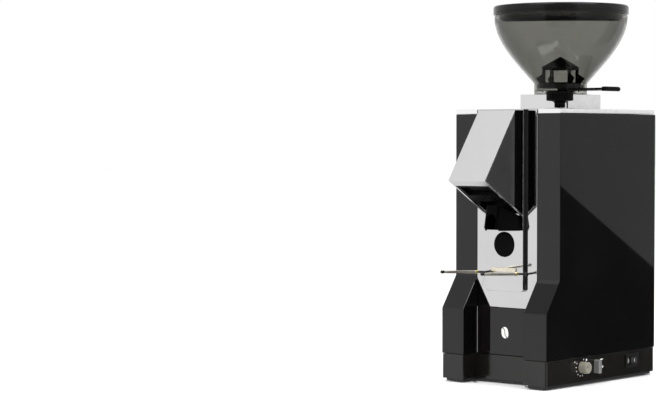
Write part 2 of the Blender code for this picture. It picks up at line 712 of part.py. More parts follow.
def make_spout(plastic):
    outline = spout_outline()
    spout = stack("spout", spout_rings(outline, SPOUT_BOTTOM, -GAP))
    inner = offset_outline(outline, SPOUT_WALL)
    cut(spout, stack("cut_spout_inside", spout_rings(inner, SPOUT_BOTTOM - 3 * SPOUT_RIM, 5 * MM)))
    spring_z = SPOUT_ARCH_TOP - SPOUT_ARCH_RADIUS
    arch = [(SPOUT_ARCH_RADIUS * math.cos(t), spring_z + SPOUT_ARCH_RADIUS * math.sin(t))
            for t in (math.pi * i / 8 for i in range(9))]
    arch = [(SPOUT_ARCH_RADIUS, SPOUT_BOTTOM - 3 * SPOUT_RIM), *arch,
            (-SPOUT_ARCH_RADIUS, SPOUT_BOTTOM - 3 * SPOUT_RIM)]
    cut(spout, prism("cut_spout_arch", arch, -12 * MM, 2 * MM, "Y"))
    rim_outer = offset_outline(outline, 0.8 * MM)
    rim_inner = offset_outline(outline, 0.8 * MM + SPOUT_WALL)
    rim = prism("spout_rim", rim_outer, SPOUT_BOTTOM - SPOUT_RIM, SPOUT_BOTTOM + 0.5 * MM)
    front_cut = rectangle((-30 * MM, -12 * MM), (30 * MM, -1 * MM))
    low, high = SPOUT_BOTTOM - 2 * SPOUT_RIM, SPOUT_BOTTOM + 2 * SPOUT_RIM
    cut(rim, prism("cut_rim_inside", rim_inner, low, high), prism("cut_rim_front", front_cut, low, high))
    add(spout, rim)
    paint(plastic, spout)


# ---------------------------------------------------------------- hopper

def bowl_radius(z):
    """The bowl swells from its neck to its rim along a softened quarter sine."""
    share = max(0.0, (z - NECK_TOP) / (BOWL_TOP - NECK_TOP))
    return NECK_RADIUS + (BOWL_RADIUS - NECK_RADIUS) * math.sin(share * math.pi / 2) ** BOWL_SWELL


def make_collar(chrome):
    half = COLLAR_HALF
    outline = rounded_rectangle((-half, AXIS_Y - half), (half, AXIS_Y + half), 2 * MM, 3)
    collar = prism("hopper_collar", outline, PLATE_TOP + GAP, COLLAR_TOP)
    bore = circle((0, AXIS_Y), SPIGOT_RADIUS + GAP, STEPS_LARGE)
    cut(collar, prism("cut_collar_bore", bore, PLATE_TOP - OVERCUT, COLLAR_TOP + OVERCUT))
    paint(chrome, collar)


def make_bowl(smoked):
    count = 7
    heights = [NECK_TOP + (BOWL_TOP - NECK_TOP) * i / count for i in range(count + 1)]
    outer = [(bowl_radius(z), z) for z in heights]
    inner = [(bowl_radius(z) - BOWL_WALL, z) for z in heights[:-1]]
    inner[0] = (NECK_RADIUS - BOWL_WALL, NECK_TOP)
    rim = [(RIM_OUTER, BOWL_TOP), (RIM_OUTER, RIM_TOP), (RIM_INNER, RIM_TOP), (RIM_INNER, RIM_ROOT)]
    step = COLLAR_TOP + GAP
    hollow = 19.8 * MM
    profile = [(SPIGOT_RADIUS, SPIGOT_BOTTOM), (SPIGOT_RADIUS, step), (NECK_RADIUS, step), *outer,
               *rim, *reversed(inner), (NECK_RADIUS - BOWL_WALL, THROAT_FLOOR), (THROAT_RADIUS, THROAT_FLOOR),
               (THROAT_RADIUS, THROAT_FLOOR - BOWL_WALL), (hollow, THROAT_FLOOR - 2 * BOWL_WALL),
               (hollow, SPIGOT_BOTTOM)]
    bowl = lathe("hopper_bowl", profile, (0, AXIS_Y), STEPS_LARGE)
    half = GATE_HALF_WIDTH + GAP
    slot = rectangle((10 * MM, AXIS_Y - half), (30 * MM, AXIS_Y + half))
    low = GATE_BOTTOM - GAP
    cut(bowl, prism("cut_gate_slot", slot, low, GATE_BOTTOM + GATE_THICKNESS + GAP))
    paint(smoked, bowl)


def make_gate(plastic):
    low, high = (GATE_INNER_X, AXIS_Y - GATE_HALF_WIDTH), (GATE_TIP_X, AXIS_Y + GATE_HALF_WIDTH)
    top = GATE_BOTTOM + GATE_THICKNESS
    gate = prism("hopper_gate", rounded_rectangle(low, high, 5 * MM, 3), GATE_BOTTOM, top)
    grip_proud = 0.95 * MM
    grip_low = (GATE_TIP_X - 5 * MM, AXIS_Y - GATE_HALF_WIDTH + 3 * MM)
    grip_high = (GATE_TIP_X - 0.2 * MM, AXIS_Y + GATE_HALF_WIDTH - 3 * MM)
    add(gate, prism("gate_grip", rounded_rectangle(grip_low, grip_high, 2 * MM, 2),
                    GATE_BOTTOM - grip_proud, top + grip_proud))
    paint(plastic, gate)


def turned_with_guard(obj, angle=0.0):
    """Turn a piece laid out square to the machine about the burr axis, by the guard's turn and angle."""
    on_axis = Matrix.Translation((0, AXIS_Y, 0))
    obj.data.transform(on_axis @ Matrix.Rotation(GUARD_TURN + angle, 4, "Z") @ on_axis.inverted())
    return obj


def make_guard(plastic):
    """A little roofed tower over the throat that keeps fingers out of the burrs."""
    wall = 1.5 * MM
    half = GUARD_HALF
    centre = AXIS_Y
    guard = ring("finger_guard", 11 * MM, NECK_RADIUS - BOWL_WALL - 0.5 * MM, GUARD_BASE,
                 GUARD_BASE + 2.8 * MM, steps=STEPS_MEDIUM)
    tower = prism("guard_tower", rectangle((-half, centre - half), (half, centre + half)),
                  GUARD_BASE + OVERCUT, GUARD_EAVES)
    eaves = half + 1 * MM
    roof_low = [(x, centre + y, GUARD_EAVES - 0.5 * MM) for x, y in rectangle((-eaves, -eaves), (eaves, eaves))]
    tip = 0.6 * MM
    roof_high = [(x, centre + y, GUARD_PEAK) for x, y in rectangle((-tip, -tip), (tip, tip))]
    roof = stack("guard_roof", [roof_low, roof_high])
    add(guard, turned_with_guard(tower), turned_with_guard(roof))
    for i in range(4):
        add(guard, make_guard_fin(i))
    inner = half - wall
    window = half - 3 * MM
    low, high = GUARD_BASE - OVERCUT, GUARD_EAVES - wall
    inside = prism("cut_guard_inside", rectangle((-inner, centre - inner), (inner, centre + inner)), low, high)
    sill, lintel = 283 * MM, 295 * MM
    reach = half + OVERCUT
    window_x = prism("cut_guard_window_x", rectangle((centre - window, sill), (centre + window, lintel)),
                     -reach, reach, "X")
    window_y = prism("cut_guard_window_y", rectangle((-window, sill), (window, lintel)),
                     centre - reach, centre + reach, "Y")
    cut(guard, *(turned_with_guard(cutter) for cutter in (inside, window_x, window_y)))
    paint(plastic, guard)


def make_guard_fin(index):
    """One of four diagonal webs between the tower's corners and the bowl's foot."""
    root = GUARD_HALF * math.sqrt(2) - 1.2 * MM
    foot = NECK_RADIUS - BOWL_WALL - 1 * MM
    outline = [(root, GUARD_BASE + 1.5 * MM), (foot, GUARD_BASE + 1.5 * MM), (foot, 282.5 * MM),
               (26 * MM, 287 * MM), (root, 291.5 * MM)]
    half = 0.8 * MM
    fin = prism("guard_fin_%d" % index, outline, AXIS_Y - half, AXIS_Y + half, "Y")
    return turned_with_guard(fin, math.radians(45 + 90 * index))


def make_lid(smoked):
    bevel = 1.2 * MM
    crown = [(LID_RADIUS, LID_SHOULDER - bevel), (LID_RADIUS - bevel, LID_SHOULDER), (55 * MM, 356 * MM),
             (30 * MM, 356.4 * MM)]
    bore = RIM_INNER - 0.5 * MM
    profile = [(0, LID_TOP), (0, LID_CEILING), (bore, LID_CEILING), (bore, LID_SEAT), (LID_INNER, LID_SEAT),
               (LID_INNER, LID_BOTTOM), (LID_RADIUS, LID_BOTTOM), *crown]
    paint(smoked, lathe("hopper_lid", profile, (0, AXIS_Y), STEPS_LARGE))


def make_lid_gasket(rubber):
    paint(rubber, ring("lid_gasket", RIM_INNER - 0.2 * MM, RIM_OUTER, RIM_TOP + GAP, LID_SEAT - GAP,
                       steps=STEPS_LARGE))


# ---------------------------------------------------------------- grind adjustment

def make_knob(plastic):
    bore = SPINDLE_RADIUS + GAP
    stem = 5.1 * MM
    shoulder = 264.4 * MM
    bevel = 0.8 * MM
    profile = [(bore, KNOB_BOTTOM), (stem, KNOB_BOTTOM), (stem, shoulder - 2 * MM), (stem + 2 * MM, shoulder - bevel),
               (KNOB_RADIUS - bevel, shoulder), (KNOB_RADIUS, shoulder + bevel), (KNOB_RADIUS, KNOB_TOP - bevel),
               (KNOB_RADIUS - bevel, KNOB_TOP), (0, KNOB_TOP), (0, KNOB_TOP - 4.5 * MM),
               (bore, KNOB_TOP - 4.5 * MM)]
    knob = lathe("adjust_knob", profile, (0, 0), STEPS_MEDIUM)
    knob.location = (KNOB_X, KNOB_Y, 0)
    paint(plastic, knob)


def make_index_plate(metal):
    plate = ring("index_plate", SPINDLE_RADIUS + GAP, 14 * MM, PLATE_TOP + GAP, PLATE_TOP + GAP + 0.6 * MM,
                 (KNOB_X, KNOB_Y))
    paint(metal, plate)


def mesh_phase():
    """Turns the pinion so that a gap of it faces a tooth of the ring on their centre line."""
    line = math.atan2(KNOB_Y - AXIS_Y, KNOB_X)
    return line, line + math.pi + math.pi / PINION_TEETH


def make_spindle(steel):
    """Adjusting spindle with its pinion cut in one piece."""
    low, high = CHAMBER_BOTTOM, KNOB_TOP - 4.8 * MM
    spindle = lathe("adjust_spindle", [(0, low), (SPINDLE_RADIUS, low), (SPINDLE_RADIUS, high), (0, high)],
                    (0, 0), STEPS_SMALL)
    pinion = prism("pinion", gear_outline((0, 0), PINION_TEETH, mesh_phase()[1]), GEAR_BOTTOM, GEAR_TOP)
    for obj in (spindle, pinion):
        obj.location = (KNOB_X, KNOB_Y, 0)
    add(spindle, pinion)
    paint(steel, spindle)


def make_adjusting_ring(steel):
    outline = gear_outline((0, 0), RING_TEETH, mesh_phase()[0])
    gear = prism("adjusting_ring", outline, GEAR_BOTTOM, GEAR_TOP)
    gear.location = (0, AXIS_Y, 0)
    bore = circle((0, AXIS_Y), CARRIER_RADIUS + GAP, STEPS_LARGE)
    cut(gear, prism("cut_ring_thread", bore, GEAR_BOTTOM - OVERCUT, GEAR_TOP + OVERCUT))
    paint(steel, gear)


# ---------------------------------------------------------------- burrs and chamber

def make_chamber(aluminium):
    floor = CHAMBER_BOTTOM + 2.3 * MM
    top = GEAR_BOTTOM - GAP
    profile = [(7 * MM, CHAMBER_BOTTOM), (CHAMBER_RADIUS, CHAMBER_BOTTOM), (CHAMBER_RADIUS, top),
               (CHAMBER_BORE, top), (CHAMBER_BORE, floor), (7 * MM, floor)]
    chamber = lathe("grinding_chamber", profile, (0, AXIS_Y), STEPS_LARGE)
    cut(chamber, outlet_window("cut_chamber_outlet", AXIS_Y - CHAMBER_RADIUS - OVERCUT, AXIS_Y - 25 * MM))
    paint(aluminium, chamber)


def make_outlet_duct(plastic):
    wall = 1.5 * MM
    near, far = FRONT_Y + SHEET + GAP, AXIS_Y - CHAMBER_RADIUS - GAP
    outline = rectangle((-OUTLET_HALF_WIDTH - wall, OUTLET_BOTTOM - wall),
                        (OUTLET_HALF_WIDTH + wall, OUTLET_TOP + wall))
    duct = prism("outlet_duct", outline, near, far, "Y")
    cut(duct, outlet_window("cut_duct_inside", near - OVERCUT, far + OVERCUT))
    paint(plastic, duct)


def burr_profile(face, back, bore_face):
    """A flat burr: a grinding land outside, and a cone that draws the beans in."""
    land = 21 * MM
    return [(BURR_BORE, back), (BURR_RADIUS, back), (BURR_RADIUS, face), (land, face), (BURR_BORE, bore_face)]


def make_burrs(steel):
    low_face = LOWER_BURR_BOTTOM + BURR_THICKNESS
    high_face = low_face + BURR_SPACE
    high_back = high_face + BURR_THICKNESS
    cone = 2.6 * MM
    centre = (0, 0)
    lower = lathe("lower_burr", burr_profile(low_face, LOWER_BURR_BOTTOM, low_face - cone), centre)
    upper = lathe("upper_burr", burr_profile(high_face, high_back, high_face + cone), centre)
    for burr in (lower, upper):
        burr.location = (0, AXIS_Y, 0)
        paint(steel, burr)


def make_burr_carriers(aluminium):
    low = CHAMBER_BOTTOM + 4.3 * MM
    high = LOWER_BURR_BOTTOM - GAP
    lower = ring("lower_burr_carrier", SHAFT_RADIUS + GAP, 30 * MM, low, high, (0, 0))
    lower.location = (0, AXIS_Y, 0)
    for name, side in (("sweeper_right", 1), ("sweeper_left", -1)):
        near, far = sorted((side * 28 * MM, side * 33 * MM))
        vane = rectangle((near, AXIS_Y - 1.5 * MM), (far, AXIS_Y + 1.5 * MM))
        add(lower, prism(name, vane, low + 0.5 * MM, high - 0.5 * MM))
    bottom = LOWER_BURR_BOTTOM + 2 * BURR_THICKNESS + BURR_SPACE + GAP
    profile = [(14.8 * MM, bottom), (CARRIER_RADIUS, bottom), (CARRIER_RADIUS, CARRIER_TOP),
               (19 * MM, CARRIER_TOP), (14.8 * MM, CARRIER_TOP - 8 * MM)]
    upper = lathe("upper_burr_carrier", profile, (0, 0), STEPS_LARGE)
    upper.location = (0, AXIS_Y, 0)
    paint(aluminium, lower, upper)


# ---------------------------------------------------------------- motor

def make_motor_frame(steel):
    """Plate that carries motor and chamber, hung from the top plate by four posts."""
    outline = rounded_rectangle((-56 * MM, 54 * MM), (56 * MM, 150 * MM), 6 * MM, 3)
    frame = prism("motor_frame", outline, FRAME_BOTTOM, FRAME_TOP)
    for i, (x, y) in enumerate(((-50, -32), (50, -32), (50, 32), (-50, 32))):
        post = circle((x * MM, AXIS_Y + y * MM), 4 * MM, 12)
        add(frame, prism("frame_post_%d" % i, post, FRAME_TOP - OVERCUT, SHELL_TOP))
    hole = circle((0, AXIS_Y), 10 * MM)
    cut(frame, prism("cut_frame_shaft", hole, FRAME_BOTTOM - OVERCUT, FRAME_TOP + OVERCUT))
    paint(steel, frame)


def make_end_shield(name, inner, outer, bearing_radius, aluminium):
    """A cup over one end of the stator, with a seat for its bearing; inner faces the stator."""
    way = 1 if outer > inner else -1
    plate = outer - way * 3.6 * MM
    boss = outer - way * 8 * MM
    seat = bearing_radius + GAP
    profile = [(seat, outer), (SHIELD_RADIUS, outer), (SHIELD_RADIUS, inner), (SHIELD_RADIUS - SHIELD_WALL, inner),
               (SHIELD_RADIUS - SHIELD_WALL, plate), (seat + 2.7 * MM, plate), (seat + 2.7 * MM, boss), (seat, boss)]
    paint(aluminium, lathe(name, profile, (0, AXIS_Y)))


def make_motor(steel, copper, aluminium):
    half = STATOR_HALF
    outline = rounded_rectangle((-half, AXIS_Y - half), (half, AXIS_Y + half), 14 * MM)
    stator = prism("motor_stator", outline, STATOR_BOTTOM, STATOR_TOP)
    bore = circle((0, AXIS_Y), ROTOR_RADIUS + 0.6 * MM, STEPS_MEDIUM)
    cut(stator, prism("cut_stator_bore", bore, STATOR_BOTTOM - OVERCUT, STATOR_TOP + OVERCUT))
    paint(steel, stator)
    winding_height = 13 * MM
    paint(copper,
          ring("winding_upper", 24 * MM, 35.5 * MM, STATOR_TOP + GAP, STATOR_TOP + winding_height),
          ring("winding_lower", 24 * MM, 35.5 * MM, STATOR_BOTTOM - winding_height, STATOR_BOTTOM - GAP))
    make_end_shield("upper_end_shield", STATOR_TOP + GAP, FRAME_BOTTOM - GAP, 13 * MM, aluminium)
    make_end_shield("lower_end_shield", STATOR_BOTTOM - GAP, 103.5 * MM, 11 * MM, aluminium)
    bore_radius = SHAFT_RADIUS + GAP
    paint(steel,
          ring("upper_bearing", bore_radius, 13 * MM, 197.6 * MM, 204.2 * MM),
          ring("lower_bearing", bore_radius, 11 * MM, 104 * MM, 110.5 * MM))


def make_rotor(steel, plastic):
    bore = SHAFT_RADIUS + GAP
    profile = [(0, SHAFT_BOTTOM), (SHAFT_RADIUS, SHAFT_BOTTOM), (SHAFT_RADIUS, SHAFT_TOP), (0, SHAFT_TOP)]
    shaft = lathe("motor_shaft", profile, (0, 0), STEPS_SMALL)
    rotor = ring("motor_rotor", bore, ROTOR_RADIUS, STATOR_BOTTOM, STATOR_TOP, (0, 0))
    fan = ring("cooling_fan", bore, 9 * MM, 93 * MM, 101 * MM, (0, 0), STEPS_SMALL)
    for piece in (shaft, rotor, fan):
        piece.location = (0, AXIS_Y, 0)
    add(fan, ring("fan_disc", 8 * MM, FAN_RADIUS, 99.4 * MM, 100.8 * MM))
    for i in range(FAN_BLADES):
        blade = prism("fan_blade_%d" % i, rectangle((8 * MM, -0.7 * MM), (FAN_RADIUS - 1 * MM, 0.7 * MM)),
                      93.5 * MM, 100 * MM)
        turn = Matrix.Rotation(2 * math.pi * (i + 0.5) / FAN_BLADES, 4, "Z")
        blade.data.transform(Matrix.Translation((0, AXIS_Y, 0)) @ turn)
        add(fan, blade)
    paint(steel, shaft, rotor)
    paint(plastic, fan)


# ---------------------------------------------------------------- electrics and controls

def rocker_rectangle(half_length, half_height):
    return rectangle((ROCKER_Y - half_length, ROCKER_Z - half_height),
                     (ROCKER_Y + half_length, ROCKER_Z + half_height))


def make_timer(board_green, metal, ivory):
    board = rectangle((42 * MM, 8.5 * MM), (93 * MM, 25 * MM))
    paint(board_green, prism("timer_board", board, 49.5 * MM, 51.1 * MM, "X"))
    wall = 57 * MM
    body_back = 51.4 * MM
    stem = TIMER_SHAFT_RADIUS
    shaft_end = 66 * MM
    profile = [(0, 0), (7 * MM, 0), (7 * MM, wall - body_back), (stem, wall - body_back),
               (stem, shaft_end - body_back), (0, shaft_end - body_back)]
    paint(metal, lathe_along("timer_potentiometer", profile, (body_back, TIMER_Y, TIMER_Z), "+X"))
    near = BODY_HALF_WIDTH + 0.4 * MM
    length = TIMER_KNOB_END_X - near
    bore, depth, edge = stem + GAP, shaft_end + GAP - near, 0.6 * MM
    knob = [(0, depth), (bore, depth), (bore, 0), (TIMER_KNOB_RADIUS, 0), (TIMER_KNOB_RADIUS, length - edge),
            (TIMER_KNOB_RADIUS - edge, length), (0, length)]
    paint(ivory, lathe_along("timer_knob", knob, (near, TIMER_Y, TIMER_Z), "+X", 24))


def make_selector(plastic, grey):
    body = rectangle((SELECTOR_Y - 6.5 * MM, 9.5 * MM), (SELECTOR_Y + 6.5 * MM, 23.3 * MM))
    switch = prism("mode_switch", body, 51.4 * MM, 57 * MM, "X")
    place = (SELECTOR_Y, SELECTOR_Z)
    shaft_end = 63 * MM
    shaft = circle(place, SELECTOR_SHAFT_RADIUS, 12)
    add(switch, prism("mode_switch_shaft", shaft, 56 * MM, shaft_end, "X"))
    paint(plastic, switch)
    near = BODY_HALF_WIDTH + 0.4 * MM
    bar = rounded_rectangle((SELECTOR_Y - SELECTOR_HALF_WIDTH, SELECTOR_Z - SELECTOR_HALF_LENGTH),
                            (SELECTOR_Y + SELECTOR_HALF_WIDTH, SELECTOR_Z + SELECTOR_HALF_LENGTH), 1 * MM, 2)
    lever = prism("mode_selector", bar, near, SELECTOR_END_X, "X")
    move_origin(lever, (near, SELECTOR_Y, SELECTOR_Z))
    bore = circle(place, SELECTOR_SHAFT_RADIUS + GAP, 12)
    cut(lever, prism("cut_selector_bore", bore, near - OVERCUT, shaft_end + GAP, "X"))
    paint(grey, lever)


def make_rocker(plastic, gloss):
    bezel = BODY_HALF_WIDTH + GAP
    housing = prism("rocker_housing", rocker_rectangle(10.4 * MM, 6.1 * MM), bezel, bezel + 1 * MM, "X")
    add(housing, prism("rocker_box", rocker_rectangle(8.6 * MM, 4.7 * MM), 45 * MM, bezel + 0.5 * MM, "X"))
    cut(housing, prism("cut_rocker_mouth", rocker_rectangle(7.7 * MM, 3.8 * MM), 50 * MM, 63 * MM, "X"))
    paint(plastic, housing)
    end, half = 6.8 * MM, 3.3 * MM
    face, dip, back = 4.6 * MM, 3.2 * MM, -3 * MM
    outline = [(back, -2.5 * MM), (1 * MM, -end), (face, -end), (dip, 0), (face, end), (1 * MM, end),
               (back, 2.5 * MM)]
    rocker = prism("rocker_switch", outline, -half, half)
    rocker.data.transform(Matrix.Rotation(-ROCKER_REST_TILT, 4, "Z"))
    rocker.location = (ROCKER_PIVOT_X, ROCKER_Y, ROCKER_Z)
    paint(gloss, rocker)


def make_capacitor(metal):
    low, high, edge = 5.1 * MM, 60 * MM, 1.5 * MM
    radius = 15 * MM
    profile = [(0, low), (radius, low), (radius, high - edge), (radius - edge, high), (0, high)]
    paint(metal, lathe("run_capacitor", profile, (-33 * MM, 150 * MM), STEPS_SMALL))


def make_gland(rubber):
    """Bush where the mains lead would leave the back of the plinth."""
    length = 12 * MM
    flange = GLAND_END_Y - BODY_DEPTH
    profile = [(3.2 * MM, 0), (7 * MM, 0), (7 * MM, flange - GAP), (5 * MM, flange - GAP), (5 * MM, length),
               (3.2 * MM, length)]
    paint(rubber, lathe_along("cable_gland", profile, (GLAND_X, GLAND_END_Y, GLAND_Z), "-Y"))


# ---------------------------------------------------------------- assembly

def main():
    clear_scene()
    machine = bpy.data.objects.new("machine", None)
    bpy.context.collection.objects.link(machine)
    machine.location = (-CENTRE_X, -CENTRE_Y, 0)

    enamel = material("black_enamel", (0.012, 0.012, 0.013), 0.12)
    gloss = material("gloss_black", (0.01, 0.01, 0.011), 0.08)
    black = material("black_plastic", (0.016, 0.016, 0.017), 0.4)
    rubber = material("black_rubber", (0.012, 0.012, 0.012), 0.8)
    chrome = material("polished_chrome", (0.72, 0.72, 0.72), 0.05, 1)
    steel = material("steel", (0.5, 0.5, 0.5), 0.3, 1)
    brass = material("sleeve_metal", (0.55, 0.5, 0.38), 0.3, 1)
    aluminium = material("cast_aluminium", (0.6, 0.6, 0.6), 0.45, 1)
    copper = material("copper_winding", (0.6, 0.25, 0.1), 0.4, 1)
    smoked = material("smoked_clear", (0.16, 0.16, 0.15), 0.05, 0, 0.5)
    lid = material("smoked_dark", (0.03, 0.03, 0.035), 0.1)
    ivory = material("ivory_plastic", (0.62, 0.6, 0.5), 0.4)
    grey = material("grey_plastic", (0.35, 0.35, 0.36), 0.4)
    rest = material("beige_rubber", (0.55, 0.53, 0.47), 0.5)
    green = material("circuit_board", (0.02, 0.15, 0.06), 0.5)

    make_feet(rubber)
    make_base_plate(black)
    make_plinth(black)
    make_shell(enamel)
    make_rear_cover(enamel)
    make_top_plate(chrome)
    make_front_panel(chrome)
    make_lower_fascia(gloss)

    make_spout_plate(chrome)
    make_button(gloss)
    make_microswitch(black)
    make_fork_wire(steel)
    make_fork_sleeve("fork_sleeve_left", -FORK_X, brass)
    make_fork_sleeve("fork_sleeve_right", FORK_X, brass)
    make_portafilter_rest(rest)

    make_chute_cover(chrome)
    make_chute_body(gloss)
    make_chute_base(black)
    make_chute_liner(black)
    make_spout(black)

    make_collar(chrome)
    make_bowl(smoked)
    make_gate(black)
    make_guard(black)
    make_lid(lid)
    make_lid_gasket(rubber)

    make_knob(black)
    make_index_plate(aluminium)
    make_spindle(steel)
    make_adjusting_ring(steel)
    make_chamber(aluminium)
    make_outlet_duct(black)
    make_burrs(steel)
    make_burr_carriers(aluminium)

    make_motor_frame(steel)
    make_motor(steel, copper, aluminium)
    make_rotor(steel, black)

    make_timer(green, aluminium, ivory)
    make_selector(black, grey)
    make_rocker(black, gloss)
    make_capacitor(aluminium)
    make_gland(rubber)


main()
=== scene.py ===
import math

import bmesh
import bpy
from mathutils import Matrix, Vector


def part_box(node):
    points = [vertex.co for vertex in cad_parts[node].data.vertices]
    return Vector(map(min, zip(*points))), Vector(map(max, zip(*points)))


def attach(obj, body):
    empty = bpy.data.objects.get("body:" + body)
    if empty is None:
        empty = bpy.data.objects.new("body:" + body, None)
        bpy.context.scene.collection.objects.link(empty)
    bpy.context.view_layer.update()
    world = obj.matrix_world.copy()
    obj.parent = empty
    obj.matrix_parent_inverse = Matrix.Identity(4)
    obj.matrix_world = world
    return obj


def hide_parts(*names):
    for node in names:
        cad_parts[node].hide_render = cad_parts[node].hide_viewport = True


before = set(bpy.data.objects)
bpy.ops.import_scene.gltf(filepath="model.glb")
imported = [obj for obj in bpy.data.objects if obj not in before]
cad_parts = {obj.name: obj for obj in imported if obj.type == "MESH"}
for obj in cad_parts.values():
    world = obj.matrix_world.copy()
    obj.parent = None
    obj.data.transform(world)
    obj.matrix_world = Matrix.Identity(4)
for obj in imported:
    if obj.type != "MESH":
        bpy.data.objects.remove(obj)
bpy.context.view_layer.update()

MM = 0.001
SIDE_X = 60.0            # the housing's side walls stand at plus and minus this
plinth_low, plinth_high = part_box("base_plinth")
DATUM = Vector(((plinth_low.x + plinth_high.x) / 2, plinth_low.y, 0.0))


def at(x, y, z):
    """A point given in millimetres from the middle of the base's front edge."""
    return DATUM + Vector((x, y, z)) * MM


# ---------------------------------------------------------------- materials

PATCHES_PER_BLOTCH = 7   # roughness patches are this much finer than the colour blotches


def blank(name):
    """A new material with its node tree's nodes, links and shader."""
    made = bpy.data.materials.new(name)
    made.use_nodes = True
    shader = made.node_tree.nodes["Principled BSDF"]
    return made, made.node_tree.nodes, made.node_tree.links, shader


def object_coordinates(nodes, links, stretch=(1, 1, 1)):
    where = nodes.new("ShaderNodeTexCoord")
    if stretch == (1, 1, 1):
        return where.outputs["Object"]
    mapping = nodes.new("ShaderNodeMapping")
    mapping.inputs["Scale"].default_value = stretch
    links.new(where.outputs["Object"], mapping.inputs["Vector"])
    return mapping.outputs["Vector"]


def noise(nodes, links, vector, scale, detail=3.0):
    made = nodes.new("ShaderNodeTexNoise")
    for name, value in (("Scale", scale), ("Detail", detail), ("Roughness", 0.55)):
        made.inputs[name].default_value = value
    links.new(vector, made.inputs["Vector"])
    return made.outputs["Fac"]


def spread(nodes, links, source, low, high, start=0.3, end=0.7):
    """source from start to end, mapped to low to high; noise mostly lies between 0.3 and 0.7."""
    made = nodes.new("ShaderNodeMapRange")
    for name, value in (("From Min", start), ("From Max", end), ("To Min", low), ("To Max", high)):
        made.inputs[name].default_value = value
    links.new(source, made.inputs["Value"])
    return made.outputs["Result"]


def two_tone(nodes, links, source, first, second, start=0.3, end=0.7):
    ramp = nodes.new("ShaderNodeValToRGB")
    ramp.color_ramp.elements[0].position = start
    ramp.color_ramp.elements[1].position = end
    ramp.color_ramp.elements[0].color = (*first, 1)
    ramp.color_ramp.elements[1].color = (*second, 1)
    links.new(source, ramp.inputs["Fac"])
    return ramp.outputs["Color"]


def bump(nodes, links, shader, source, strength, distance):
    made = nodes.new("ShaderNodeBump")
    made.inputs["Strength"].default_value = strength
    made.inputs["Distance"].default_value = distance
    links.new(source, made.inputs["Height"])
    links.new(made.outputs["Normal"], shader.inputs["Normal"])


def surface(name, colour, roughness, metallic=0.0, tone=0.12, rough_spread=0.25, blotch=24.0,
            grain=(1400.0, 0.1, 0.00003), stretch=(1, 1, 1), edge=None, **sockets):
    """A finish with slow colour blotches, finer roughness patches and a fine grain in relief.

    tone and rough_spread are shares of the colour and the roughness, blotch and the grain's
    scale are in features a metre, and edge is the share of the colour left at grazing angles,
    where the eye looks through more of a clear wall.
    """
    made, nodes, links, shader = blank(name)
    vector = object_coordinates(nodes, links, stretch)
    slow = noise(nodes, links, vector, blotch)
    dull = tuple(c * (1 - tone) for c in colour)
    bright = tuple(min(1.0, c * (1 + tone)) for c in colour)
    tint = two_tone(nodes, links, slow, dull, bright)
    if edge:
        facing = nodes.new("ShaderNodeLayerWeight")
        thick = nodes.new("ShaderNodeMixRGB")
        thick.blend_type = "MULTIPLY"
        thick.inputs["Color2"].default_value = (edge, edge, edge, 1)
        grazing = spread(nodes, links, facing.outputs["Facing"], 0.0, 1.0, 0.25, 0.9)
        links.new(grazing, thick.inputs["Fac"])
        links.new(tint, thick.inputs["Color1"])
        tint = thick.outputs["Color"]
    links.new(tint, shader.inputs["Base Color"])
    patch = noise(nodes, links, vector, blotch * PATCHES_PER_BLOTCH, 4.0)
    links.new(spread(nodes, links, patch, roughness * (1 - rough_spread), roughness * (1 + rough_spread)),
              shader.inputs["Roughness"])
    if grain:
        scale, strength, distance = grain
        bump(nodes, links, shader, noise(nodes, links, vector, scale, 2.0), strength, distance)
    shader.inputs["Metallic"].default_value = metallic
    for socket, value in sockets.items():
        shader.inputs[socket.replace("_", " ")].default_value = value
    return made


def banded(name, colour, groove, roughness, metallic, direction, pitch, strength, distance):
    """A finish with fine regular lines, such as stacked sheets, wound wire or turning marks."""
    made, nodes, links, shader = blank(name)
    vector = object_coordinates(nodes, links)
    wave = nodes.new("ShaderNodeTexWave")
    wave.bands_direction = direction
    wave.inputs["Scale"].default_value = 2 * math.pi / pitch / 20
    wave.inputs["Distortion"].default_value = 0.6
    links.new(vector, wave.inputs["Vector"])
    tint = two_tone(nodes, links, wave.outputs["Fac"], groove, colour, 0.1, 0.6)
    links.new(tint, shader.inputs["Base Color"])
    patch = noise(nodes, links, vector, 160.0)
    links.new(spread(nodes, links, patch, roughness * 0.75, roughness * 1.25), shader.inputs["Roughness"])
    bump(nodes, links, shader, wave.outputs["Fac"], strength, distance)
    shader.inputs["Metallic"].default_value = metallic
    return made


enamel = surface("black_enamel", (0.0022, 0.0022, 0.0025), 0.022, tone=0.3, rough_spread=0.5,
                 grain=(650.0, 0.02, 0.00001), IOR=1.47)
plinth_paint = surface("satin_black", (0.0065, 0.006, 0.0055), 0.16, tone=0.35, rough_spread=0.3,
                       grain=(900.0, 0.12, 0.00003), IOR=1.5)
gloss = surface("gloss_black", (0.0045, 0.0034, 0.0038), 0.03, tone=0.3, rough_spread=0.5,
                grain=(500.0, 0.02, 0.00001), IOR=1.47)
chute_black = surface("chute_black", (0.026, 0.026, 0.026), 0.22, tone=0.15,
                      grain=(1200.0, 0.1, 0.00003), IOR=1.4)
panel_chrome = surface("panel_chrome", (0.64, 0.64, 0.64), 0.045, 1.0, tone=0.02, rough_spread=0.5,
                       grain=(240.0, 0.02, 0.00002))
chute_chrome = surface("chute_chrome", (0.86, 0.86, 0.86), 0.2, 1.0, tone=0.01, rough_spread=0.08,
                       grain=(420.0, 0.006, 0.00001))
plate_chrome = surface("plate_chrome", (0.9, 0.9, 0.9), 0.1, 1.0, tone=0.02, rough_spread=0.4,
                       grain=(420.0, 0.03, 0.00002))
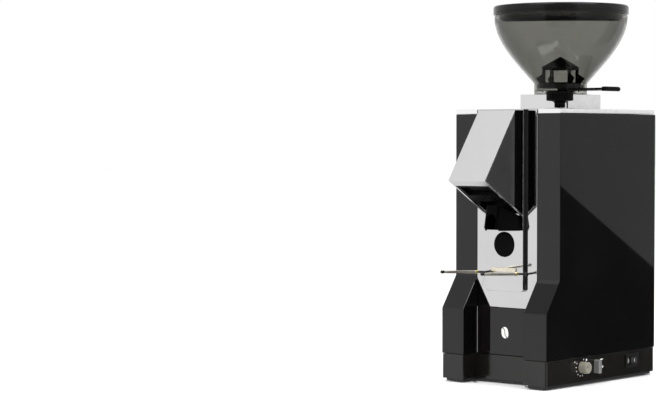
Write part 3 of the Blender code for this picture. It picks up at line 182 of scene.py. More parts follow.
collar_chrome = surface("collar_chrome", (0.69, 0.69, 0.69), 0.1, 1.0, tone=0.02, rough_spread=0.4,
                        grain=(420.0, 0.03, 0.00002))
deep_black = surface("deep_black", (0.0012, 0.0012, 0.0012), 0.3, tone=0.3,
                     grain=(1500.0, 0.1, 0.00003), IOR=1.12)
key_black = surface("key_black", (0.004, 0.004, 0.004), 0.22, tone=0.3,
                    grain=(1500.0, 0.1, 0.00003), IOR=1.04)
# painted highlight: the light grey of the fascia's corner beads stands for light caught by the fillets in those
# corners
bead_grey = surface("bead_grey", (0.27, 0.27, 0.27), 0.45, tone=0.08, blotch=200.0,
                    grain=(2400.0, 0.2, 0.00003))
plastic = surface("moulded_black", (0.012, 0.012, 0.012), 0.38, tone=0.18,
                  grain=(2600.0, 0.35, 0.00005), IOR=1.46)
smooth_plastic = surface("smooth_black", (0.006, 0.006, 0.006), 0.2, tone=0.25,
                         grain=(1500.0, 0.1, 0.00003), IOR=1.46)
rubber = surface("black_rubber", (0.014, 0.0135, 0.013), 0.68, tone=0.2,
                 grain=(1900.0, 0.5, 0.00008), IOR=1.45)
beige_rubber = surface("beige_rubber", (0.50, 0.46, 0.37), 0.55, tone=0.12, blotch=120.0,
                       grain=(1500.0, 0.3, 0.00006), IOR=1.45)
brass = surface("worn_brass", (0.64, 0.605, 0.52), 0.36, 1.0, tone=0.2, blotch=210.0,
                grain=(1300.0, 0.25, 0.00004), stretch=(1, 0.25, 1))
bright_brass = surface("bright_brass", (0.72, 0.56, 0.16), 0.24, 1.0, tone=0.2, blotch=300.0)
steel = surface("wire_steel", (0.11, 0.11, 0.11), 0.24, 1.0, tone=0.15, blotch=150.0, stretch=(1, 0.2, 1))
machined = banded("machined_steel", (0.62, 0.62, 0.63), (0.48, 0.48, 0.49), 0.26, 1.0, "Z",
                  0.0004, 0.12, 0.00002)
aluminium = surface("cast_aluminium", (0.56, 0.565, 0.57), 0.46, 1.0, tone=0.1, blotch=90.0,
                    grain=(1100.0, 0.6, 0.00012))
sheet_steel = surface("zinc_sheet", (0.55, 0.56, 0.56), 0.35, 1.0, tone=0.22, blotch=110.0,
                      grain=(900.0, 0.15, 0.00003))
laminations = banded("steel_laminations", (0.30, 0.30, 0.31), (0.07, 0.07, 0.075), 0.42, 0.85, "Z",
                     0.0012, 0.6, 0.0001)
copper = banded("enamelled_copper", (0.62, 0.26, 0.10), (0.22, 0.07, 0.03), 0.3, 0.8, "Z",
                0.0009, 0.8, 0.0002)
ivory = surface("ivory_plastic", (0.2, 0.19, 0.152), 0.36, tone=0.06, blotch=200.0,
                grain=(2400.0, 0.2, 0.00004), IOR=1.46)
grey_plastic = surface("grey_plastic", (0.165, 0.165, 0.165), 0.4, tone=0.1, blotch=200.0,
                       grain=(2400.0, 0.25, 0.00004), IOR=1.46)
board = surface("circuit_board", (0.014, 0.11, 0.035), 0.3, tone=0.3, blotch=420.0,
                grain=(1200.0, 0.3, 0.00005))
print_white = surface("white_print", (0.74, 0.74, 0.72), 0.5, tone=0.05, blotch=300.0,
                      grain=(3000.0, 0.2, 0.00001))
print_black = surface("black_print", (0.01, 0.01, 0.01), 0.5, tone=0.2, blotch=300.0,
                      grain=(3000.0, 0.2, 0.00001))
smoke = surface("smoked_clear", (0.385, 0.385, 0.36), 0.02, tone=0.03, rough_spread=0.6, blotch=30.0,
                grain=(60.0, 0.04, 0.00005), edge=0.3, IOR=1.22, Transmission_Weight=1.0)
dark_smoke = surface("smoked_dark", (0.008, 0.0085, 0.008), 0.14, tone=0.1, rough_spread=0.5, blotch=30.0,
                     grain=(300.0, 0.04, 0.00003), IOR=1.24, Transmission_Weight=0.3)
guard_plastic = surface("guard_plastic", (0.02, 0.02, 0.02), 0.5, tone=0.15,
                        grain=(2000.0, 0.2, 0.00004), IOR=1.22)


# ---------------------------------------------------------------- mesh helpers

def shade(obj, angle=32.0):
    """Smooth shading, with the edges sharper than angle kept crisp."""
    bm = bmesh.new()
    bm.from_mesh(obj.data)
    limit = math.radians(angle)
    for face in bm.faces:
        face.smooth = True
    for edge in bm.edges:
        edge.smooth = len(edge.link_faces) == 2 and edge.calc_face_angle(0.0) < limit
    bm.to_mesh(obj.data)
    bm.free()


def soften(obj, width, segments=2, angle=34.0):
    """Rounds the sharp edges."""
    made = obj.modifiers.new("rounding", "BEVEL")
    made.width = width * MM
    made.segments = segments
    made.limit_method = "ANGLE"
    made.angle_limit = math.radians(angle)
    made.miter_outer = "MITER_ARC"
    made.use_clamp_overlap = True
    normals = obj.modifiers.new("normals", "WEIGHTED_NORMAL")
    normals.keep_sharp = True
    normals.weight = 60


def build(name, points, faces, finish, body, slot, replaces=(), rounding=0.0, angle=32.0):
    """A piece from points in the machine's millimetres, on a CAD body."""
    bm = bmesh.new()
    verts = [bm.verts.new(at(*p)) for p in points]
    for face in faces:
        bm.faces.new([verts[i] for i in face])
    bmesh.ops.remove_doubles(bm, verts=bm.verts, dist=1e-7)
    bmesh.ops.dissolve_degenerate(bm, edges=bm.edges, dist=1e-8)
    bmesh.ops.recalc_face_normals(bm, faces=bm.faces)
    mesh = bpy.data.meshes.new(name)
    bm.to_mesh(mesh)
    bm.free()
    obj = bpy.data.objects.new(name, mesh)
    bpy.context.scene.collection.objects.link(obj)
    mesh.materials.append(finish)
    shade(obj, angle)
    if rounding:
        soften(obj, rounding)
    if body:
        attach(obj, body)
    if replaces:
        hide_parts(*replaces)
    return obj


def rings_to_mesh(rings, closed=False):
    """Points and faces from rings of equal length; open ends get caps."""
    count = len(rings[0])
    points = [p for ring in rings for p in ring]
    faces = []
    spans = len(rings) if closed else len(rings) - 1
    for i in range(spans):
        a, b = i * count, (i + 1) % len(rings) * count
        for j in range(count):
            k = (j + 1) % count
            faces.append((a + j, a + k, b + k, b + j))
    if not closed:
        faces += [tuple(range(count)), tuple(range((len(rings) - 1) * count, len(rings) * count))]
    return points, faces


AXES = {"+X": lambda u, v, w: (w, u, v), "+Y": lambda u, v, w: (u, w, v), "+Z": lambda u, v, w: (u, v, w)}


def turned(name, profile, centre, finish, body, slot, axis="+Z", steps=96, modulate=None, **more):
    """A turned piece: a closed profile of (radius, height), turned round an axis through centre."""
    turn = AXES[axis]
    rings = []
    for radius, height in profile:
        ring = []
        for j in range(steps):
            angle = 2 * math.pi * j / steps
            r = radius if modulate is None else modulate(radius, height, angle)
            point = turn(r * math.cos(angle), r * math.sin(angle), height)
            ring.append(tuple(c + p for c, p in zip(centre, point)))
        rings.append(ring)
    points, faces = rings_to_mesh(rings, closed=True)
    return build(name, points, faces, finish, body, slot, **more)


def arc(centre, radius, start, end, steps=5):
    """Points along an arc in degrees, for profiles and outlines."""
    return [(centre[0] + radius * math.cos(math.radians(start + (end - start) * i / steps)),
             centre[1] + radius * math.sin(math.radians(start + (end - start) * i / steps)))
            for i in range(steps + 1)]


def round_box(low, high, radius, steps=5):
    """A rectangle's outline with rounded corners."""
    (x0, y0), (x1, y1) = low, high
    corners = ((x1 - radius, y0 + radius), (x1 - radius, y1 - radius),
               (x0 + radius, y1 - radius), (x0 + radius, y0 + radius))
    return [point for i, corner in enumerate(corners)
            for point in arc(corner, radius, 90 * i - 90, 90 * i, steps)]


def rectangle(x0, y0, x1, y1):
    return [(x0, y0), (x1, y0), (x1, y1), (x0, y1)]


def stroke(centre, degrees, inner, outer, half):
    """A short radial line of a scale, from inner to outer along an angle, half wide to either side."""
    angle = math.radians(degrees)
    c, s = math.cos(angle), math.sin(angle)
    return [(centre[0] + r * c - w * s, centre[1] + r * s + w * c)
            for r, w in ((inner, -half), (outer, -half), (outer, half), (inner, half))]


PLANES = {"X": lambda a, b, c: (c, a, b), "Y": lambda a, b, c: (a, c, b), "Z": lambda a, b, c: (a, b, c)}


def slab(name, outline, low, high, axis, finish, body, slot, **more):
    """A flat piece: an outline across an axis, from low to high along it."""
    place = PLANES[axis]
    rings = [[place(a, b, low) for a, b in outline], [place(a, b, high) for a, b in outline]]
    points, faces = rings_to_mesh(rings)
    return build(name, points, faces, finish, body, slot, **more)


def tube(name, path, radii, finish, body, slot, steps=20, **more):
    """A round bar along a path of points, with a radius at each."""
    rings = []
    side = None
    for i, point in enumerate(path):
        here = Vector(point)
        before = Vector(path[max(0, i - 1)])
        after = Vector(path[min(len(path) - 1, i + 1)])
        along = (after - before).normalized()
        if side is None:
            side = along.cross(Vector((1, 0, 0) if abs(along.z) > 0.9 else (0, 0, 1))).normalized()
        side = (side - along * side.dot(along)).normalized()
        up = along.cross(side)
        rings.append([tuple(here + (side * math.cos(a) + up * math.sin(a)) * radii[i])
                      for a in (2 * math.pi * j / steps for j in range(steps))])
    points, faces = rings_to_mesh(rings)
    return build(name, points, faces, finish, body, slot, **more)


def carve(obj, cutters, operation="DIFFERENCE"):
    """Takes the cutters out of obj, or joins them to it, for good."""
    for cutter in cutters:
        made = obj.modifiers.new("carve", "BOOLEAN")
        made.operation = operation
        made.solver = "EXACT"
        made.object = cutter
        bpy.context.view_layer.update()
        done = bpy.data.meshes.new_from_object(obj.evaluated_get(bpy.context.evaluated_depsgraph_get()))
        obj.modifiers.clear()
        old = obj.data
        obj.data = done
        done.name = obj.name
        bpy.data.meshes.remove(old)
        bpy.data.objects.remove(cutter)
    shade(obj)


def tool(name, outline, low, high, axis):
    """A slab to carve with; the boolean uses it up."""
    return slab(name, outline, low, high, axis, plastic, None, None)


# ---------------------------------------------------------------- camera, lights and floor

CAMERA_PLACE = Vector((1136.6, -1508.7, 230.6))
CAMERA_DIP, CAMERA_TURN = 1.771, 41.627       # degrees: below level, and round towards +X from straight ahead
SENSOR_WIDTH, LENS = 36.0, 112.0              # millimetres
camera_data = bpy.data.cameras.new("camera")
camera_data.sensor_width = SENSOR_WIDTH
camera_data.lens = LENS
camera_data.clip_end = 100.0
camera = bpy.data.objects.new("camera", camera_data)
bpy.context.scene.collection.objects.link(camera)
camera.location = at(*CAMERA_PLACE)
camera.rotation_euler = (math.radians(90 - CAMERA_DIP), 0, math.radians(CAMERA_TURN))
bpy.context.scene.camera = camera
bpy.context.scene.view_settings.view_transform = "Standard"
bpy.context.scene.view_settings.look = "None"

SKY = ((-1.0, 0.7), (-0.5, 0.7), (-0.2, 1.0), (0.12, 1.0), (0.6, 0.7), (1.0, 0.7))
SUBJECT = (0, 90, 200)                        # what the soft boxes point at
SOFTBOX_SIZE, SOFTBOX_RADIANCE = (0.85, 0.8), 5.5
SUN_STRENGTH, SUN_SPREAD = 1.9, math.radians(100)


def studio_world():
    """A pale surround, brightest round the horizon: SKY pairs the height of a direction with its brightness."""
    world = bpy.data.worlds.new("studio")
    world.use_nodes = True
    nodes, links = world.node_tree.nodes, world.node_tree.links
    where = nodes.new("ShaderNodeTexCoord")
    split = nodes.new("ShaderNodeSeparateXYZ")
    links.new(where.outputs["Generated"], split.inputs[0])
    share = spread(nodes, links, split.outputs["Z"], 0.0, 1.0, -1.0, 1.0)
    ramp = nodes.new("ShaderNodeValToRGB")
    elements = ramp.color_ramp.elements
    for height, brightness in SKY:
        position = (height + 1) / 2
        if abs(height) == 1.0:
            element = elements[0 if height < 0 else -1]
        else:
            element = elements.new(position)
        element.position = position
        element.color = (brightness, brightness, brightness, 1)
    links.new(share, ramp.inputs["Fac"])
    links.new(ramp.outputs["Color"], nodes["Background"].inputs["Color"])
    nodes["Background"].inputs["Strength"].default_value = 1.0
    bpy.context.scene.world = world


def softbox(name, place):
    data = bpy.data.lights.new(name, "AREA")
    data.shape = "RECTANGLE"
    data.size, data.size_y = SOFTBOX_SIZE
    data.energy = SOFTBOX_RADIANCE * math.pi * SOFTBOX_SIZE[0] * SOFTBOX_SIZE[1]
    light = bpy.data.objects.new(name, data)
    bpy.context.scene.collection.objects.link(light)
    light.location = at(*place)
    aim = at(*SUBJECT) - light.location
    light.rotation_euler = aim.to_track_quat("-Z", "Y").to_euler()


def overhead_sun():
    """Wide soft light from straight above that keeps the whole floor white; it isn't mirrored in anything."""
    data = bpy.data.lights.new("overhead", "SUN")
    data.energy = SUN_STRENGTH
    data.angle = SUN_SPREAD
    light = bpy.data.objects.new("overhead", data)
    bpy.context.scene.collection.objects.link(light)
    light.visible_glossy = light.visible_transmission = False


def card(name, points, brightness):
    """A studio card that only shows in reflections."""
    made, nodes, links, shader = blank(name)
    nodes.remove(shader)
    glow = nodes.new("ShaderNodeEmission")
    glow.inputs["Color"].default_value = (brightness, brightness, brightness, 1)
    links.new(glow.outputs[0], nodes["Material Output"].inputs["Surface"])
    obj = build(name, points, [tuple(range(len(points)))], made, None, None)
    obj.visible_camera = obj.visible_diffuse = obj.visible_shadow = obj.visible_transmission = False
    return obj


studio_world()
softbox("softbox_left", (-90, -790, 1230))
softbox("softbox_right", (890, 30, 1230))
overhead_sun()
floor_finish = surface("pale_floor", (0.86, 0.86, 0.86), 0.6, tone=0.01, blotch=2.0, grain=None)
floor = build("floor", [(x, y, 0) for x, y in rectangle(-9000, -9000, 9000, 12000)], [(0, 1, 2, 3)],
              floor_finish, None, None)
floor.visible_glossy = False

DARK, GREY = 0.035, 0.42                      # brightness of the cards
CARD_X, CARD_REAR = 660.0, 1600


def seen_in_side(y, z):
    """Where the side wall's mirror image of the camera's view through (y, z) meets the cards."""
    eye = Vector((2 * SIDE_X - CAMERA_PLACE.x, CAMERA_PLACE.y, CAMERA_PLACE.z))
    toward = Vector((SIDE_X, y, z)) - eye
    return eye + toward * ((CARD_X - eye.x) / toward.x)


# The side wall is dark below a slanted line and grey above it: the dark card stands behind the grey one.
CARD_TOP = seen_in_side(100, 252).z
edge_low, edge_high = seen_in_side(240, 71.5), seen_in_side(-20, 208)
card("card_dark", [(CARD_X + 5, y, z) for y, z in rectangle(560, -500, CARD_REAR, CARD_TOP)], DARK)
card("card_grey", [tuple(edge_low), (CARD_X, CARD_REAR, edge_low.z - 120), (CARD_X, CARD_REAR, CARD_TOP),
                   (CARD_X, 700, CARD_TOP), tuple(edge_high)], GREY)


def camera_side_card(distance, half_width, low, high):
    """A dark card round the camera, mirrored in what faces it: the knob, the lid's rim and the plate's edge."""
    toward = Vector((CAMERA_PLACE.x, CAMERA_PLACE.y)).normalized()
    across = Vector((-toward.y, toward.x)) * half_width
    middle = toward * distance
    left, right = middle - across, middle + across
    card("card_camera_side", [(*left, low), (*right, low), (*right, high), (*left, high)], DARK)


camera_side_card(1200, 620, -450, 900)


def near_card(name, points, brightness):
    """A one-sided card close to a glossy front, which then mirrors it and not the chute and fork beyond."""
    obj = card(name, points, brightness)
    if obj.data.polygons[0].normal.y < 0:
        obj.data.flip_normals()
    tree = bpy.data.materials[name].node_tree
    kinds = ("BsdfTransparent", "NewGeometry", "MixShader")
    clear, facing, mix = (tree.nodes.new("ShaderNode" + kind) for kind in kinds)
    tree.links.new(facing.outputs["Backfacing"], mix.inputs["Fac"])
    tree.links.new(tree.nodes["Emission"].outputs[0], mix.inputs[1])
    tree.links.new(clear.outputs[0], mix.inputs[2])
    tree.links.new(mix.outputs[0], tree.nodes["Material Output"].inputs["Surface"])


def pillar_card(name, inner_x, low, high, brightness):
    """A near card over part of the right-hand pillar's front; low and high are (y, z)."""
    near_card(name, [(SIDE_X, *low), (inner_x, *low), (inner_x, *high), (SIDE_X, *high)], brightness)


pillar_card("card_pillar", 32.8, (18.5, 96.5), (18.5, 251), 1.0)
pillar_card("card_kick", 32.5, (-2.2, 71.0), (18.5, 100.4), 0.5)


# ---------------------------------------------------------------- carried-over CAD nodes

FINISHES = {
    enamel: ["body_shell", "rear_cover"],
    plinth_paint: ["base_plinth"],
    gloss: ["lower_fascia"],
    panel_chrome: ["front_panel", "spout_plate"],
    chute_chrome: ["chute_cover"],
    plate_chrome: ["top_plate"],
    collar_chrome: ["hopper_collar"],
    chute_black: ["chute_body"],
    smooth_plastic: ["rocker_housing"],
    deep_black: ["chute_base", "chute_liner"],
    plastic: ["base_plate", "start_microswitch", "outlet_duct", "mode_switch", "cooling_fan"],
    guard_plastic: ["finger_guard"],
    beige_rubber: ["portafilter_rest"],
    aluminium: ["grinding_chamber", "upper_end_shield", "lower_end_shield", "upper_burr_carrier",
                "lower_burr_carrier", "run_capacitor"],
    sheet_steel: ["motor_frame", "timer_potentiometer"],
    machined: ["adjust_spindle", "adjusting_ring", "upper_burr", "lower_burr", "motor_shaft", "upper_bearing",
               "lower_bearing"],
    laminations: ["motor_stator", "motor_rotor"],
    copper: ["winding_upper", "winding_lower"],
    board: ["timer_board"],
}
WELD_DISTANCE = 0.000004
FINELY_ROUNDED = ("base_plinth", "body_shell")
ROUNDINGS = {"body_shell": 0.5, "base_plinth": 0.9, "top_plate": 0.4, "hopper_collar": 0.6, "front_panel": 0.35,
             "spout_plate": 0.5, "chute_cover": 0.25, "chute_body": 0.2, "lower_fascia": 0.35, "rear_cover": 0.4}
for finish, names in FINISHES.items():
    for name in names:
        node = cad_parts[name]
        node.data.materials.clear()
        node.data.materials.append(finish)
        weld = node.modifiers.new("weld", "WELD")
        weld.merge_threshold = WELD_DISTANCE
        soften(node, ROUNDINGS.get(name, 0.2), 3 if name in FINELY_ROUNDED else 2, 40.0)


# ---------------------------------------------------------------- hopper

AXIS = (0.0, 106.5)
NECK_TOP, BOWL_TOP, BOWL_WALL = 281.5, 346.0, 2.2
NECK_RADIUS, BOWL_RADIUS, BOWL_SWELL = 25.3, 63.6, 1.06
RIM_OUTER, RIM_INNER, RIM_ROOT, RIM_TOP = 62.1, 60.0, 343.6, 349.0


def bowl_radius(z):
    """The bowl swells from its neck to its rim along a softened quarter sine."""
    share = max(0.0, (z - NECK_TOP) / (BOWL_TOP - NECK_TOP))
    return NECK_RADIUS + (BOWL_RADIUS - NECK_RADIUS) * math.sin(share * math.pi / 2) ** BOWL_SWELL


def make_bowl():
    """Clear bowl with its rim, its spigot in the collar and the slot for the gate."""
    count = 34
    heights = [NECK_TOP + (BOWL_TOP - 0.6 - NECK_TOP) * i / count for i in range(count + 1)]
    outer = [(bowl_radius(z), z) for z in heights]
    inner = [(bowl_radius(z) - BOWL_WALL, z) for z in heights if z < RIM_ROOT - 3]
    rim = [(BOWL_RADIUS, BOWL_TOP), (RIM_OUTER, BOWL_TOP), (RIM_OUTER, RIM_TOP - 0.4), (RIM_OUTER - 0.4, RIM_TOP),
           (RIM_INNER + 0.4, RIM_TOP), (RIM_INNER, RIM_TOP - 0.4), (RIM_INNER, RIM_ROOT)]
    spigot, bore, foot, ledge = 22.2, 19.8, 258.0, 271.3
    throat, floor_top, neck_inner = 14.5, 274.2, NECK_RADIUS - BOWL_WALL
    profile = [(spigot, foot), (spigot, ledge), (NECK_RADIUS - 0.5, ledge), (NECK_RADIUS, 271.8), *outer, *rim,
               *reversed(inner), (neck_inner, 274.8), (neck_inner - 0.6, floor_top),
               (15.1, floor_top), (throat, 273.6), (throat, 272.0), (bore, 269.8), (bore, foot)]
    bowl = turned("hopper_shell", profile, (*AXIS, 0), smoke, None, None, steps=128)
    half = 16.3
    carve(bowl, [tool("cut_gate_slot", rectangle(10, AXIS[1] - half, 30, AXIS[1] + half), 274.35, 277.05, "Z")])
    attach(bowl, "hopper")
    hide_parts("hopper_bowl")


def make_lid():
    """Smoked cover with its hanging skirt, and the seal that sits under it."""
    outer, top = 64.6, 356.6
    step, seat, ceiling = 59.5, 350.6, 352.3
    skirt_inner, skirt_bottom = 62.5, BOWL_TOP + 1.4
    skirt = [(skirt_inner, seat), (skirt_inner, skirt_bottom + 0.4), (skirt_inner + 0.4, skirt_bottom),
             (outer - 0.4, skirt_bottom), (outer, skirt_bottom + 0.4), (outer, 349.2), (outer - 0.3, 349.5),
             (outer - 0.3, 349.9), (outer, 350.2)]
    crown = [(55.6, 356.05), (54.6, 355.7), (53.4, 355.65), (52.4, 355.9), (40, 356.25), (25, 356.45), (10, 356.57)]
    profile = [(0, top), (0, ceiling), (step, ceiling), (step, seat), *skirt,
               *arc((outer - 2.4, 353.6), 2.4, 0, 68, 7), *crown]
    turned("hopper_cover", profile, (*AXIS, 0), dark_smoke, "lid", "smoked_dark", steps=128,
           replaces=("hopper_lid",))
    seal = [(60.1, 349.32), (59.85, 349.6), (59.85, 350.0), (60.1, 350.28), (61.8, 350.28), (62.08, 350.05),
            (61.9, 349.8), (62.08, 349.55), (61.8, 349.32)]
    turned("lid_seal", seal, (*AXIS, 0), rubber, "lid", "black_rubber", steps=128, replaces=("lid_gasket",))


def make_gate():
    """Sliding gate of the hopper, with its ribbed finger grip."""
    x0, x1, half = 5.0, 60.0, 16.0
    y0, y1 = AXIS[1] - half, AXIS[1] + half
    gate = slab("gate_plate", round_box((x0, y0), (x1, y1), 5), 274.65, 276.75, "Z", deep_black, None, None)
    grip = tool("grip", round_box((55.0, y0 + 3), (59.8, y1 - 3), 2), 273.7, 277.7, "Z")
    carve(gate, [grip], "UNION")
    soften(gate, 0.3)
    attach(gate, "gate")
    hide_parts("hopper_gate")
    for i in range(9):
        y = AXIS[1] - 10 + 2.5 * i
        slab("gate_rib_%d" % i, round_box((55.6, y - 0.45), (59.2, y + 0.45), 0.4, 3), 277.5, 277.95, "Z",
             smooth_plastic, "gate", "black_plastic", rounding=0.1)


make_bowl()
make_lid()
make_gate()


# ---------------------------------------------------------------- grind adjustment

KNOB = (30.1, 62.57)


def make_knob():
    """Fluted knob on its stem, with a pointer line."""
    bore, stem, shoulder, top, radius = 3.4, 5.1, 264.4, 272.7, 12.6
    profile = [(0, top - 0.5), (5.5, top - 0.5), (6.2, top - 0.1), (7.2, top), (radius - 0.9, top),
               *arc((radius - 0.9, top - 0.9), 0.9, 90, 0, 4)[1:], (radius, shoulder + 0.9),
               *arc((radius - 0.9, shoulder + 0.9), 0.9, 0, -90, 4)[1:], (stem + 2.2, shoulder - 0.6),
               (stem + 0.9, shoulder - 1.2), (stem, shoulder - 2.2), (stem, 257.9), (bore, 257.9), (bore, 268.2),
               (0, 268.2)]
    flutes, depth, fluted_from = 30, 0.55, 11.6

    def fluted(radius_here, height, angle):
        if radius_here < fluted_from:
            return radius_here
        return radius_here - depth * (0.5 + 0.5 * math.cos(flutes * angle)) ** 2

    turned("grind_knob", profile, (*KNOB, 0), deep_black, "adjuster", "black_plastic", steps=240, modulate=fluted,
           replaces=("adjust_knob",), angle=50.0)
    line = round_box((KNOB[0] - 0.45, KNOB[1] - 11.2), (KNOB[0] + 0.45, KNOB[1] - 7.6), 0.4, 3)
    slab("knob_pointer", line, 272.55, 272.7, "Z", print_white, "adjuster", "ivory_plastic")


def make_scale():
    """Index disc under the knob with graduations, and an arrow either side of it on the top plate."""
    turned("scale_disc", [(3.4, 256.85), (13.8, 256.85), (14.0, 257.0), (14.0, 257.25), (13.8, 257.4), (3.4, 257.4)],
           (*KNOB, 0), machined, "housing", "machined_steel", steps=96, replaces=("index_plate",))
    for i in range(30):
        inner, half = (11.0, 0.22) if i % 5 == 0 else (12.2, 0.14)
        slab("scale_tick_%02d" % i, stroke(KNOB, 12 * i, inner, 13.5, half), 257.38, 257.47, "Z", print_black,
             "housing", "black_plastic")
    for i, side in enumerate((-1, 1)):
        x, y = KNOB[0] + side * 7, KNOB[1] - 19.5
        outline = [(x - 3 * side, y + 0.4), (x + 1.6 * side, y + 0.4), (x + 1.6 * side, y + 1.3), (x + 3.6 * side, y),
                   (x + 1.6 * side, y - 1.3), (x + 1.6 * side, y - 0.4), (x - 3 * side, y - 0.4)]
        slab("turn_arrow_%d" % i, outline, 256.5, 256.58, "Z", print_black, "housing", "black_plastic")


make_knob()
make_scale()


# ---------------------------------------------------------------- front: button, fork, spout, fascia trim

FORK_BAR_Y, FORK_TIP_Y = 27.0, -48.5
FORK_REAR_Z, FORK_RISE = 103.6, 3.7


def make_start_key():
    """Shallow domed button with its flange and stem."""
    profile = [(0, 14.8), (2.5, 14.82), (5.5, 14.97), (8.0, 15.3), (9.8, 15.75), (10.9, 16.3), (11.5, 17.2),
               (11.5, 17.7), (4.5, 17.7), (4.5, 26.5), (0, 26.5)]
    turned("start_key", profile, (0, 0, 130.7), key_black, "button", "black_plastic", axis="+Y", steps=96,
           replaces=("start_button",))


def fork_height(y):
    """The fork's rods rise slightly from the panel to their tips."""
    return FORK_REAR_Z + FORK_RISE * (FORK_BAR_Y - y) / (FORK_BAR_Y - FORK_TIP_Y)


def rod_point(x, y):
    return (x, y, fork_height(y))


def make_fork():
    """Bent wire behind the panel, with a brass sleeve, ferrule and dark cap on each rod."""
    half, wire_tip, bend = 22.9, -46.5, 4.0
    plan = [(-half, wire_tip), (-half, 5)] + arc((-half + bend, FORK_BAR_Y - bend), bend, 180, 90, 10)
    plan += [(-x, y) for x, y in reversed(plan)]
    tube("fork_bar", [rod_point(x, y) for x, y in plan], [1.1] * len(plan), steel, "housing", "wire_steel", steps=24,
         replaces=("fork_wire",))
    # Each part of a rod is a run of (y, radius).
    grip = [(2.9, 1.2), (2.7, 1.5), (1.2, 1.52), (0.8, 1.4), (0.4, 1.5), (-12, 1.46), (-30, 1.38), (-44.2, 1.3),
            (-44.6, 1.22), (-44.8, 1.15)]
    ferrule = [(6.0, 1.2), (5.8, 1.6), (5.5, 1.75), (3.4, 1.75), (3.1, 1.6), (2.9, 1.2)]
    cap = [(-44.7, 1.15), (-44.9, 1.4), (-45.2, 1.5), (-47.2, 1.5), (-48.0, 1.3), (-48.4, 0.85), (FORK_TIP_Y, 0.3)]
    for name, x in (("left", -half), ("right", half)):
        for part, spans, finish, slot, replaced in (
                ("grip", grip, brass, "sleeve_metal", ("fork_sleeve_" + name,)),
                ("ferrule", ferrule, bright_brass, "sleeve_metal", ()),
                ("cap", cap, smooth_plastic, "black_plastic", ())):
            tube("fork_%s_%s" % (part, name), [rod_point(x, y) for y, _ in spans], [r for _, r in spans], finish,
                 "housing", slot, steps=24, replaces=replaced)


def underside(y):
    """Height of the chute's underside, which slopes down from its lip to its foot."""
    lip_y, lip_z, foot_z, depth = -41.0, 190.7, 157.3, 57.7
    return lip_z + (foot_z - lip_z) * (y - lip_y) / depth


def rounded(points, radii, steps=6):
    """A closed outline with its corners rounded."""
    made = []
    for i, (x, y) in enumerate(points):
        here = Vector((x, y))
        if not radii[i]:
            made.append((x, y))
            continue
        before = (Vector(points[i - 1]) - here).normalized()
        after = (Vector(points[(i + 1) % len(points)]) - here).normalized()
        reach = radii[i] / math.tan(before.angle(after) / 2)
        for k in range(steps + 1):
            t = k / steps
            made.append(tuple(here + before * reach * (1 - t) ** 2 + after * reach * t ** 2))
    return made


def inset(points, distance):
    """The closed outline moved inwards; it runs anticlockwise."""
    made = []
    for i, point in enumerate(points):
        here = Vector(point)
        first = (here - Vector(points[i - 1])).normalized()
        second = (Vector(points[(i + 1) % len(points)]) - here).normalized()
        normals = Vector((-first.y, first.x)), Vector((-second.y, second.x))
        middle = (normals[0] + normals[1]).normalized()
        made.append(tuple(here + middle * distance / max(0.3, middle.dot(normals[0]))))
    return made


def spout_rings(outline, low, rise):
    """The spout narrows towards the chute, and its prow leans back."""
    rings = []
    back = max(y for _, y in outline)
    for share in (0.0, 0.04, 0.5, 1.0):
        shrink = 1 - 0.1 * share - (0.015 if share == 0 else 0)
        ring = [(x * shrink, back - (back - y) * (1 - 0.16 * share)) for x, y in outline]
        rings.append([(x, y, low + (underside(y) + rise - low) * share) for x, y in ring])
    return rings


def make_spout():
    """Outlet under the chute, with its arched mouth and the rim round its foot."""
    half, back, prow, nose, bottom, wall = 20.0, 16.7, 7.0, -5.0, 146.0, 2.0
    outline = rounded([(-half, back), (-half, back - 4), (-prow, nose), (prow, nose), (half, back - 4), (half, back)],
                      [0, 3, 3.5, 3.5, 3, 0])
    points, faces = rings_to_mesh(spout_rings(outline, bottom, -0.3))
    spout = build("outlet_spout", points, faces, deep_black, None, None)
    points, faces = rings_to_mesh(spout_rings(inset(outline, wall), bottom - 8.0, 5.0))
    hollow = build("cut_spout", points, faces, deep_black, None, None)
    radius, top = 5.75, 159.4
    arch = [(radius, 139.0), *arc((0, top - radius), radius, 0, 180, 24), (-radius, 139.0)]
    carve(spout, [hollow, tool("cut_arch", arch, -12, 2, "Y")])
    rim = slab("rim", inset(outline, 0.8), bottom - 2.0, bottom + 0.5, "Z", deep_black, None, None)
    carve(rim, [tool("cut_rim", inset(outline, 2.8), 140, 150, "Z"),
                tool("cut_rim_front", rectangle(-30, -12, 30, -1), 140, 150, "Z")])
    carve(spout, [rim], "UNION")
    soften(spout, 0.3, 3, 40.0)
    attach(spout, "housing")
    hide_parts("spout")


def make_fascia_trim():
    """Corner beads for the fillets beside the lower fascia, light grey as a painted highlight along them, and a
    coffee-bean mark printed on it.
    """
    for name, x in (("left", -34.05), ("right", 34.05)):
        # the beads' light grey is a painted highlight along the corner fillets
        tube("fascia_fillet_" + name, [(x, 20.7, z) for z in (27.3, 27.6, 71.0, 71.3)], [0.15, 0.28, 0.28, 0.15],
             bead_grey, "housing", "grey_plastic", steps=16)
    centre, tilt = (-2.0, 48.0), math.radians(28)
    for side in (-1, 1):
        outline = []
        for t in range(21):
            a = math.radians(-90 + 9 * t)
            outline.append((side * (0.55 + 3.5 * math.cos(a)) + 0.5 * math.sin(2 * a), 5.2 * math.sin(a)))
        outline += [(side * 0.45 + 0.75 * math.sin(math.pi * s), 5.0 * s)
                    for s in (0.9, 0.6, 0.3, 0, -0.3, -0.6, -0.9)]
        turned_outline = [(centre[0] + x * math.cos(tilt) - y * math.sin(tilt),
                           centre[1] + x * math.sin(tilt) + y * math.cos(tilt)) for x, y in outline]
        slab("bean_half_%s" % ("left" if side < 0 else "right"), turned_outline, 20.93, 21.0, "Y", print_white,
             "housing", "ivory_plastic")


make_start_key()
make_fork()
make_spout()
make_fascia_trim()


# ---------------------------------------------------------------- controls on the plinth's side

